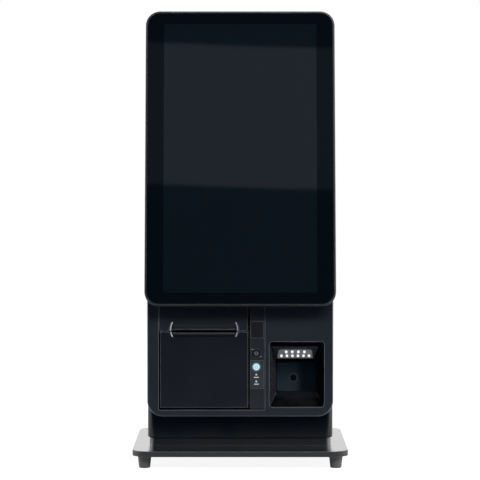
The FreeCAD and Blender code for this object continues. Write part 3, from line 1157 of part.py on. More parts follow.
def make_head():
    outer = centred("head blank", "headWidth", "headHeight", "0", "headThickness", "headCorner")
    round_edges(outer, "headEdge", lying_at("y", "Min"))
    glass_width = "headWidth - 2 * glassInset"
    glass_height = "headHeight - 2 * glassInset"
    glass_back = "glassSink + glassThickness"
    pocket = centred("head glass pocket", f"{glass_width} + 2 * fitGap", f"{glass_height} + 2 * fitGap",
                     "-overshoot", f"{glass_back} + overshoot", "glassCorner + fitGap")
    through = centred("head panel opening", "panelWidth + 2 * slipGap", "panelHeight + 2 * slipGap",
                      "-overshoot", "headThickness + 2 * overshoot")
    recess = centred("head cover recess", "recessWidth + 2 * fitGap", "recessHeight + 2 * fitGap",
                     "flangeDepth", "headThickness")
    points = [(f"{x} * (recessWidth - coverFlange) / 2", "headThickness",
               f"headHeight / 2 + {z} * (recessHeight - coverFlange) / 2")
              for x in (-1, 1) for z in (-1, 0, 1)]
    head_screws, holes = screws("head_screws", "y", points, "headScrewHeadRadius", "headScrewHead",
                                "headScrewRadius", "coverRecess + headScrewGrip", forward=False)
    on_head(head_screws)
    on_head(cut("head_frame", outer, pocket, through, recess, holes))
    on_head(centred("touch_glass", glass_width, glass_height, "glassSink", "glassThickness", "glassCorner"))
    on_head(centred("display_panel", "panelWidth", "panelHeight", glass_back, "panelThickness"))
    flange = centred("cover flange", "recessWidth", "recessHeight", "flangeDepth", "coverRecess")
    bulge = centred("cover bulge", "coverWidth", "coverHeight", "flangeDepth", "coverRecess + coverDepth",
                    "coverCorner")
    round_edges(bulge, "coverEdge", lying_at("y", "Max"))
    hollow = centred("cover hollow", "coverWidth - 2 * coverWall", "coverHeight - 2 * coverWall",
                     "flangeDepth - overshoot", "coverRecess + coverDepth - coverWall + overshoot",
                     "coverCorner - coverWall")
    cable = rod("cover cable hole", "y", 0, "coverFloor - coverWall", "cableRise", "cableHoleRadius",
                "3 * coverWall")
    on_head(cut("head_rear_cover", fuse("cover shell", flange, bulge), hollow, cable, holes))


# ---------------------------------------------------------------- neck

def up_the_back(rise, away):
    """A point on the line of the head's back, raised from the housing's top and moved away from it."""
    return (f"neckFrontY + ({rise}) * tan(headTilt) + ({away}) / cos(headTilt)", f"bodyTop + ({rise})")


def rising_at_the_rear(edge, bounds):
    return (edge.BoundBox.ZLength > edge.BoundBox.XLength
            and edge.BoundBox.YMin > (bounds.YMin + bounds.YMax) / 2)


def make_neck():
    post = prism("neck post blank", "YZ",
                 [up_the_back("0", "0"), up_the_back("0", "postThickness + postFoot"),
                  up_the_back("postThickness", "postThickness + postFoot"),
                  up_the_back("postThickness", "postThickness"),
                  up_the_back("postRise", "postThickness"), up_the_back("postRise", "0")],
                 "-postWidth / 2", "postWidth")
    window = box("neck post window", "-cableHoleRadius", "neckFrontY", "postWindowZ",
                 "2 * cableHoleRadius", "neckFootDepth", "postWindow")
    node(cut("neck_post", post, window))
    outer = prism("neck cover blank", "YZ",
                  [up_the_back("0", "0"), up_the_back("0", "neckFootDepth"),
                   up_the_back("neckRise", "neckTopDepth"), up_the_back("neckRise", "0")],
                  "-neckWidth / 2", "neckWidth")
    round_edges(outer, "neckWall", rising_at_the_rear)
    inner = prism("neck cover hollow", "YZ",
                  [up_the_back("-overshoot", "-overshoot"),
                   up_the_back("-overshoot", "neckFootDepth - neckWall"),
                   up_the_back("neckRise - neckWall", "neckTopDepth - neckWall"),
                   up_the_back("neckRise - neckWall", "-overshoot")],
                  "neckWall - neckWidth / 2", "neckWidth - 2 * neckWall")
    node(cut("neck_cover", outer, inner))


# ---------------------------------------------------------------- electronics

def make_electronics():
    node(box("main_board", "boardLeft", "boardFrontY", "boardZ", "boardWidth", "boardDepth", "boardThickness"))
    front = "socketBackY - socketDepth"
    inlet = box("inlet block", "inletX - inletWidth / 2", front, "socketZ", "inletWidth", "socketDepth",
                "inletHeight")
    bore = rod("inlet bore", "y", "inletX", "socketBackY - socketRecess", "socketZ + inletHeight / 2",
               "inletBore", "socketRecess")
    pin = rod("inlet pin", "y", "inletX", "socketBackY - socketRecess", "socketZ + inletHeight / 2",
              "inletPin", "socketRecess - socketWall")
    node(fuse("power_inlet", cut("inlet body", inlet, bore), pin))
    blocks = []
    for name, x, width, height in socket_list()[1:]:
        block = box(f"{name} block", f"{x} - ({width}) / 2", front, "socketZ", width, "socketDepth", height)
        mouth = box(f"{name} mouth", f"{x} - ({width}) / 2 + socketWall", "socketBackY - socketRecess",
                    "socketZ + socketWall", f"{width} - 2 * socketWall", "socketRecess",
                    f"{height} - 2 * socketWall")
        blocks.append(cut(f"{name} socket", block, mouth))
    node(group("data_sockets", blocks))


make_footing()
make_plinth()
make_housing()
make_bezel()
make_light_guides()
make_door()
make_liner()
make_platen()
make_lid()
make_printer_frame()
make_paper()
make_print_head()
make_feed_train()
make_cutter()
make_latch()
make_strip()
make_release_button()
make_lock()
make_status_panel()
make_bay()
make_light_bar()
make_head()
make_neck()
make_electronics()
document.recompute()

# ---------------------------------------------------------------- checks and output

for thing in document.Objects:
    if "Invalid" in thing.State or "Error" in thing.State:
        raise RuntimeError(f"{thing.Label} failed: {thing.State}")
for thing in nodes:
    if thing.Shape.isNull() or not thing.Shape.isValid() or not thing.Shape.Solids:
        raise RuntimeError(f"{thing.Label} has no valid solid")

os.makedirs("parts", exist_ok=True)
for thing in nodes:
    thing.Shape.exportStep(f"parts/{thing.Label}.step")
    print(f"{thing.Label:20s} solids {len(thing.Shape.Solids):2d} volume {thing.Shape.Volume:12.1f}")
print(len(nodes), "sub-parts")
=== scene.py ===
import math

import bpy
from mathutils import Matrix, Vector


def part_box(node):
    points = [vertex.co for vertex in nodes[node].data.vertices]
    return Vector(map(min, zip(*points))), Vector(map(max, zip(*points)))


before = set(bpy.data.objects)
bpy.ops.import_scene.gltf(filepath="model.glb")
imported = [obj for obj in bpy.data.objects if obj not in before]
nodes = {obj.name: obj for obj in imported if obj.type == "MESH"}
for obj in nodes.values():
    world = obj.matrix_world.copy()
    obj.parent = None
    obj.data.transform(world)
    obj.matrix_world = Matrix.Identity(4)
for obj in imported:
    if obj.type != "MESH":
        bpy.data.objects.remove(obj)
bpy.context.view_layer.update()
print("frame loaded with", len(nodes), "nodes")

toFront = (0.0, -1.0, 0.0)
unlit = (0.0, 0.0, 0.0)
dustColour = (0.28, 0.27, 0.25)
noiseSpan = (0.3, 0.7)  # most of a noise texture's values lie between these


# Shader tree helpers. An input that is given a socket is linked, and any other value is set on it.

def fillInputs(tree, node, values):
    for name, value in values.items():
        if isinstance(value, bpy.types.NodeSocket):
            tree.links.new(value, node.inputs[name])
        else:
            node.inputs[name].default_value = value


def addNode(tree, kind, values=None, **settings):
    made = tree.nodes.new(kind)
    for name, value in settings.items():
        setattr(made, name, value)
    fillInputs(tree, made, values or {})
    return made


def calculate(tree, operation, a, b=0.0, clamp=False):
    return addNode(tree, "ShaderNodeMath", {0: a, 1: b}, operation=operation, use_clamp=clamp).outputs[0]


def multiply(tree, a, b, clamp=False):
    return calculate(tree, "MULTIPLY", a, b, clamp)


def subtract(tree, a, b):
    return calculate(tree, "SUBTRACT", a, b)


def remap(tree, value, low, high, toLow=0.0, toHigh=1.0):
    return addNode(tree, "ShaderNodeMapRange", {"Value": value, "From Min": low, "From Max": high,
                                                "To Min": toLow, "To Max": toHigh}).outputs[0]


def blendValues(tree, factor, first, second):
    return remap(tree, factor, 0.0, 1.0, first, second)


def blendColours(tree, factor, first, second):
    first, second = (value if isinstance(value, bpy.types.NodeSocket) else (*value, 1)
                     for value in (first, second))
    values = {0: factor, 6: first, 7: second}  # a mix node's colours are its inputs 6 and 7
    return addNode(tree, "ShaderNodeMix", values, data_type="RGBA").outputs[2]


# a colour that drifts towards a lighter or darker shade of itself
def mottle(tree, factor, colour, change):
    return blendColours(tree, factor, colour, tuple(change * part for part in colour))


def objectPlace(tree):
    return addNode(tree, "ShaderNodeTexCoord").outputs["Object"]


def faceNormal(tree):
    return addNode(tree, "ShaderNodeNewGeometry").outputs["Normal"]


def splitVector(tree, vector):
    return addNode(tree, "ShaderNodeSeparateXYZ", {0: vector}).outputs


def vectorMath(tree, operation, a, b):
    return addNode(tree, "ShaderNodeVectorMath", {0: a, 1: b}, operation=operation).outputs[0]


def lengthAlong(tree, vector, axis):
    dot = addNode(tree, "ShaderNodeVectorMath", {0: vector, 1: axis}, operation="DOT_PRODUCT")
    return dot.outputs["Value"]


# how far a point is from a piece's middle, measured in the plane whose axes are 1
def distanceFromMiddle(tree, piece, plane):
    low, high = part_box(piece)
    offset = vectorMath(tree, "SUBTRACT", objectPlace(tree), tuple((low + high) / 2))
    flat = vectorMath(tree, "MULTIPLY", offset, plane)
    return addNode(tree, "ShaderNodeVectorMath", {0: flat}, operation="LENGTH").outputs["Value"]


def noise(tree, vector, **values):
    return addNode(tree, "ShaderNodeTexNoise", {"Vector": vector, **values}).outputs[0]


def bumpNormal(tree, height, depth, strength):
    bump = addNode(tree, "ShaderNodeBump", {"Height": height, "Distance": depth, "Strength": strength})
    return bump.outputs[0]


# Effects that several finishes share, each built once as a group.

def startGroup(name, inputs):
    group = bpy.data.node_groups.new(name, "ShaderNodeTree")
    for label, default in inputs.items():
        kind = "NodeSocketVector" if isinstance(default, tuple) else "NodeSocketFloat"
        group.interface.new_socket(name=label, in_out="INPUT", socket_type=kind).default_value = default
    return group, group.nodes.new("NodeGroupInput").outputs


def endGroup(group, outputs):
    for label in outputs:
        group.interface.new_socket(name=label, in_out="OUTPUT", socket_type="NodeSocketFloat")
    fillInputs(group, group.nodes.new("NodeGroupOutput"), outputs)
    return group


def useGroup(tree, group, **values):
    return addNode(tree, "ShaderNodeGroup", values, node_tree=group).outputs


wearAndHighlightLook = {"samples": 6, "flat": 0.997, "bent": 0.90, "patchLow": 0.1, "patchHigh": 0.45}


# rubbed, lighter edges: partly real wear, partly a painted highlight where rounded edges catch the light
def makeEdgeWearAndHighlight(look):
    group, given = startGroup("edgeWearAndHighlight", {"Radius": 0.0006, "Breakup": 300.0, "Amount": 1.0})
    bevel = addNode(group, "ShaderNodeBevel", {"Radius": given["Radius"]}, samples=look["samples"])
    facing = lengthAlong(group, bevel.outputs[0], faceNormal(group))
    edge = remap(group, facing, look["flat"], look["bent"])
    patches = noise(group, objectPlace(group), Scale=given["Breakup"], Detail=3.0)
    wornAndHighlight = multiply(group, edge, remap(group, patches, look["patchLow"], look["patchHigh"]))
    return endGroup(group, {"Mask": multiply(group, wornAndHighlight, given["Amount"], clamp=True)})


turnLook = {"fadeIn": 0.12, "fadeOut": 0.25}


# the turn of a rounded edge, seen along Axis: where a painted highlight goes, and where a curved surface is
# duller
def makeRoundedEdge(look):
    group, given = startGroup("roundedEdge", {"Axis": toFront, "Start": 0.97, "End": 0.2})
    facing = lengthAlong(group, faceNormal(group), given["Axis"])
    begun = remap(group, facing, given["Start"], subtract(group, given["Start"], look["fadeIn"]))
    over = remap(group, facing, given["End"], calculate(group, "ADD", given["End"], look["fadeOut"]))
    return endGroup(group, {"Mask": multiply(group, begun, over)})


grainLook = {"pitShare": 0.5, "toneLow": 0.32, "toneHigh": 0.68}


# fine moulded or sprayed texture, with a slow change of tone over it
def makeFineGrain(look):
    group, given = startGroup("fineGrain", {"Scale": 1500.0, "Patch": 25.0})
    place = objectPlace(group)
    pits = addNode(group, "ShaderNodeTexVoronoi", {"Vector": place, "Scale": given["Scale"]}).outputs[0]
    bumps = noise(group, place, Scale=given["Scale"], Detail=2.0)
    tone = noise(group, place, Scale=given["Patch"], Detail=4.0, Roughness=0.6)
    height = calculate(group, "ADD", multiply(group, pits, look["pitShare"]), bumps)
    return endGroup(group, {"Height": height, "Tone": remap(group, tone, look["toneLow"], look["toneHigh"])})


handlingLook = {"wideShare": 0.8, "fineShare": 0.2}


# where hands and cloths have changed the gloss
def makeHandling(look):
    group, given = startGroup("handling", {"Scale": 14.0, "Smooth": 0.3, "Rough": 0.45})
    place = objectPlace(group)
    wide = noise(group, place, Scale=given["Scale"], Detail=5.0, Roughness=0.65, Distortion=0.6)
    fine = noise(group, place, Scale=900.0, Detail=1.0)
    mixed = calculate(group, "ADD", multiply(group, wide, look["wideShare"]),
                      multiply(group, fine, look["fineShare"]))
    return endGroup(group, {"Roughness": remap(group, mixed, *noiseSpan, given["Smooth"], given["Rough"])})


dustLook = {"slopeLow": 0.5, "slopeHigh": 1.0, "speckLow": 0.45, "speckHigh": 0.75}


# dust that lies on what faces up
def makeDust(look):
    group, given = startGroup("settledDust", {"Amount": 0.2, "Scale": 220.0})
    upward = remap(group, splitVector(group, faceNormal(group))["Z"], look["slopeLow"], look["slopeHigh"])
    specks = noise(group, objectPlace(group), Scale=given["Scale"], Detail=6.0, Roughness=0.7)
    lying = multiply(group, upward, remap(group, specks, look["speckLow"], look["speckHigh"]))
    return endGroup(group, {"Mask": multiply(group, lying, given["Amount"], clamp=True)})


# drawn, turned or ground metal: fine lines along one direction
def makeToolLines():
    group, given = startGroup("toolLines", {"Stretch": (20.0, 1500.0, 1500.0)})
    stretched = vectorMath(group, "MULTIPLY", objectPlace(group), given["Stretch"])
    return endGroup(group, {"Height": noise(group, stretched, Scale=1.0, Detail=3.0)})


inkEdge = 0.0001


# a short printed stroke on a front face
def makePrintedBar():
    group, given = startGroup("printedBar", {"CentreX": 0.0, "CentreZ": 0.0, "HalfWidth": 0.002,
                                             "HalfHeight": 0.0004})
    place = splitVector(group, objectPlace(group))
    within = []
    for axis, centre, half in (("X", "CentreX", "HalfWidth"), ("Z", "CentreZ", "HalfHeight")):
        away = calculate(group, "ABSOLUTE", subtract(group, place[axis], given[centre]))
        within.append(remap(group, subtract(group, away, given[half]), inkEdge, -inkEdge))
    return endGroup(group, {"Mask": multiply(group, *within)})


# a soft-edged ring on a front face, or a disc where the inner radius is 0
def makeRing():
    group, given = startGroup("ring", {"CentreX": 0.0, "CentreZ": 0.0, "Inner": 0.0, "Outer": 0.004,
                                       "Soft": 0.0002})
    place = splitVector(group, objectPlace(group))
    across = subtract(group, place["X"], given["CentreX"])
    up = subtract(group, place["Z"], given["CentreZ"])
    square = calculate(group, "ADD", multiply(group, across, across), multiply(group, up, up))
    radius = calculate(group, "SQRT", square)
    low = subtract(group, given["Inner"], given["Soft"])
    high = calculate(group, "ADD", given["Outer"], given["Soft"])
    within = multiply(group, remap(group, radius, low, given["Inner"]),
                      remap(group, radius, high, given["Outer"]))
    return endGroup(group, {"Mask": within})


edgeWearAndHighlight = makeEdgeWearAndHighlight(wearAndHighlightLook)
roundedEdge = makeRoundedEdge(turnLook)
fineGrain = makeFineGrain(grainLook)
handling = makeHandling(handlingLook)
settledDust = makeDust(dustLook)
toolLines = makeToolLines()
printedBar = makePrintedBar()
ring = makeRing()
print("shared effects ready")


# Marks on a front face are rings and bars. A gap is a bar that interrupts a ring.

def ringAt(x, z, outer, inner=0.0):
    return {"CentreX": x, "CentreZ": z, "Inner": inner, "Outer": outer}


def barAt(x, z, halfWidth, halfHeight):
    return {"CentreX": x, "CentreZ": z, "HalfWidth": halfWidth, "HalfHeight": halfHeight}


def ringMark(colour, place, gap=None):
    return {"group": ring, "colour": colour, "place": place, "gap": gap}


def barMark(colour, place):
    return {"group": printedBar, "colour": colour, "place": place, "gap": None}


def addMarks(tree, colour, marks):
    for mark in marks:
        inked = useGroup(tree, mark["group"], **mark["place"])["Mask"]
        if mark["gap"]:
            gap = useGroup(tree, printedBar, **mark["gap"])["Mask"]
            inked = multiply(tree, inked, subtract(tree, 1.0, gap))
        colour = blendColours(tree, inked, colour, mark["colour"])
    return colour


guidesLow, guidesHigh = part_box("status_light_guides")
lockLow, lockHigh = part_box("lock_barrel")
lockMiddle = (lockLow + lockHigh) / 2
scoopLow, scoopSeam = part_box("door_light_guides")
seamHigh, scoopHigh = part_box("lid_light_guides")
scoopMiddle = (scoopLow.x + scoopSeam.x) / 2

# on the status panel: a halo round the power button, and two lamps, each with a label under it
panelMarks = {"powerRing": 0.0046, "haloSoft": 0.0022, "lampRadius": 0.0012, "lampPitch": 0.0086,
              "labelDrop": 0.0034, "labelHalf": (0.0030, 0.00042), "labelInk": (0.80, 0.81, 0.83)}
panelX = (guidesLow.x + guidesHigh.x) / 2
powerZ = guidesHigh.z - panelMarks["powerRing"]
lampZ = [guidesLow.z + panelMarks["lampRadius"] + number * panelMarks["lampPitch"] for number in (0, 1)]
labels = [barMark(panelMarks["labelInk"], barAt(panelX, height - panelMarks["labelDrop"],
                                                *panelMarks["labelHalf"])) for height in lampZ]

# beside the lock: strokes, each given as how far across and up from its middle, and half its width;
# on its plug: a ring
lockMarks = {"strokes": ((-0.0050, 0.0050, 0.0021), (0.0050, -0.0041, 0.0024)), "halfHeight": 0.00035,
             "ink": (0.20, 0.21, 0.22), "plugOuter": 0.0020, "plugInner": 0.0016,
             "plugFaceAndHighlight": (0.34, 0.345, 0.355)}
lockStrokes = [barMark(lockMarks["ink"], barAt(lockMiddle.x + across, lockMiddle.z + up, half,
                                               lockMarks["halfHeight"]))
               for across, up, half in lockMarks["strokes"]]
# the ring is the plug's lighter metal face, partly a painted highlight
plugRing = ringMark(lockMarks["plugFaceAndHighlight"], ringAt(lockMiddle.x, lockMiddle.z, lockMarks["plugOuter"],
                                                 lockMarks["plugInner"]))


# the part of the scoop between two heights
def scoopPart(low, high):
    return barAt(scoopMiddle, (low + high) / 2, (scoopSeam.x - scoopLow.x) / 2, (high - low) / 2)


# where the scoop's edges stay unmarked: how far past its ends, and how far from the seam
calmMargin = {"ends": 0.003, "doorSeam": 0.001, "lidSeam": 0.003}
doorCalm = scoopPart(scoopLow.z - calmMargin["ends"], scoopSeam.z - calmMargin["doorSeam"])
lidCalm = scoopPart(seamHigh.z + calmMargin["lidSeam"], scoopHigh.z + calmMargin["ends"])


def startMaterial(name):
    material = bpy.data.materials.new(name)
    material.use_nodes = True
    tree = material.node_tree
    return material, tree, tree.nodes["Principled BSDF"]


# what a finish has unless its own entry says otherwise
usualFinish = {"patch": 25.0, "wearAndHighlightRadius": 0.0006, "markScale": 14.0, "dust": 0.1, "bump": 0.6, "marks": [],
               "metallic": 0.0, "specular": 0.5, "turnAxis": toFront, "turnStart": 0.95, "turnEnd": 0.3}


# The usual finish: toned base colour, worn edges that are partly a painted highlight, dust, handled gloss and
# a fine bump.
def makeFinish(name, entry):
    look = {**usualFinish, **entry}
    material, tree, shader = startMaterial(name)
    grain = useGroup(tree, fineGrain, Scale=look["grainScale"], Patch=look["patch"])
    wornAndHighlight = useGroup(tree, edgeWearAndHighlight, Radius=look["wearAndHighlightRadius"], Amount=look["wearAndHighlight"])["Mask"]
    dust = useGroup(tree, settledDust, Amount=look["dust"])["Mask"]
    smooth, rough = look["rough"]
    roughness = useGroup(tree, handling, Scale=look["markScale"], Smooth=smooth, Rough=rough)["Roughness"]
    metallic = look["metallic"]
    colour = blendColours(tree, grain["Tone"], look["colour"], look["tone"])
    if "shade" in look:  # painted shade: a darker colour towards one end
        shade = look["shade"]
        along = lengthAlong(tree, objectPlace(tree), shade["axis"])
        colour = blendColours(tree, remap(tree, along, shade["start"], shade["end"]), colour, shade["colour"])
    if "facing" in look:  # painted light: a lighter colour on the faces that look along an axis
        facing = look["facing"]
        turned = lengthAlong(tree, faceNormal(tree), facing["axis"])
        colour = blendColours(tree, remap(tree, turned, facing["start"], facing["end"]), colour,
                              facing["colour"])
    if "turn" in look:  # painted highlight: a paler line round a rounded edge
        turn = useGroup(tree, roundedEdge, Axis=look["turnAxis"], Start=look["turnStart"],
                        End=look["turnEnd"])
        colour = blendColours(tree, turn["Mask"], colour, look["turn"])
    if "calm" in look:  # a place without worn edges or their painted highlight
        calm = useGroup(tree, printedBar, **look["calm"])["Mask"]
        wornAndHighlight = multiply(tree, wornAndHighlight, subtract(tree, 1.0, calm))
    colour = addMarks(tree, blendColours(tree, wornAndHighlight, colour, look["wornAndHighlight"]), look["marks"])
    colour = blendColours(tree, dust, colour, dustColour)
    if "halo" in look:  # light that spills onto the face round a lamp
        spill = useGroup(tree, ring, **look["halo"])["Mask"]
        glow = blendColours(tree, spill, unlit, look["haloColour"])
        fillInputs(tree, shader, {"Emission Color": glow, "Emission Strength": look["haloStrength"]})
    height = grain["Height"]
    if "lines" in look:
        height = useGroup(tree, toolLines, Stretch=look["lines"])["Height"]
    if "matteTurn" in look:  # the curved surfaces are duller than the flat ones
        curved = useGroup(tree, roundedEdge, End=-1.0)["Mask"]
        roughness = blendValues(tree, curved, roughness, look["matteTurn"])
        if "dullScoop" in look:  # the scoop's curve shines only in its own dark colour
            metallic = multiply(tree, multiply(tree, curved, calm), look["dullScoop"])
    fillInputs(tree, shader, {"Base Color": colour, "Metallic": metallic, "Roughness": roughness,
                              "Specular IOR Level": look["specular"],
                              "Normal": bumpNormal(tree, height, look["depth"], look["bump"])})
    return material


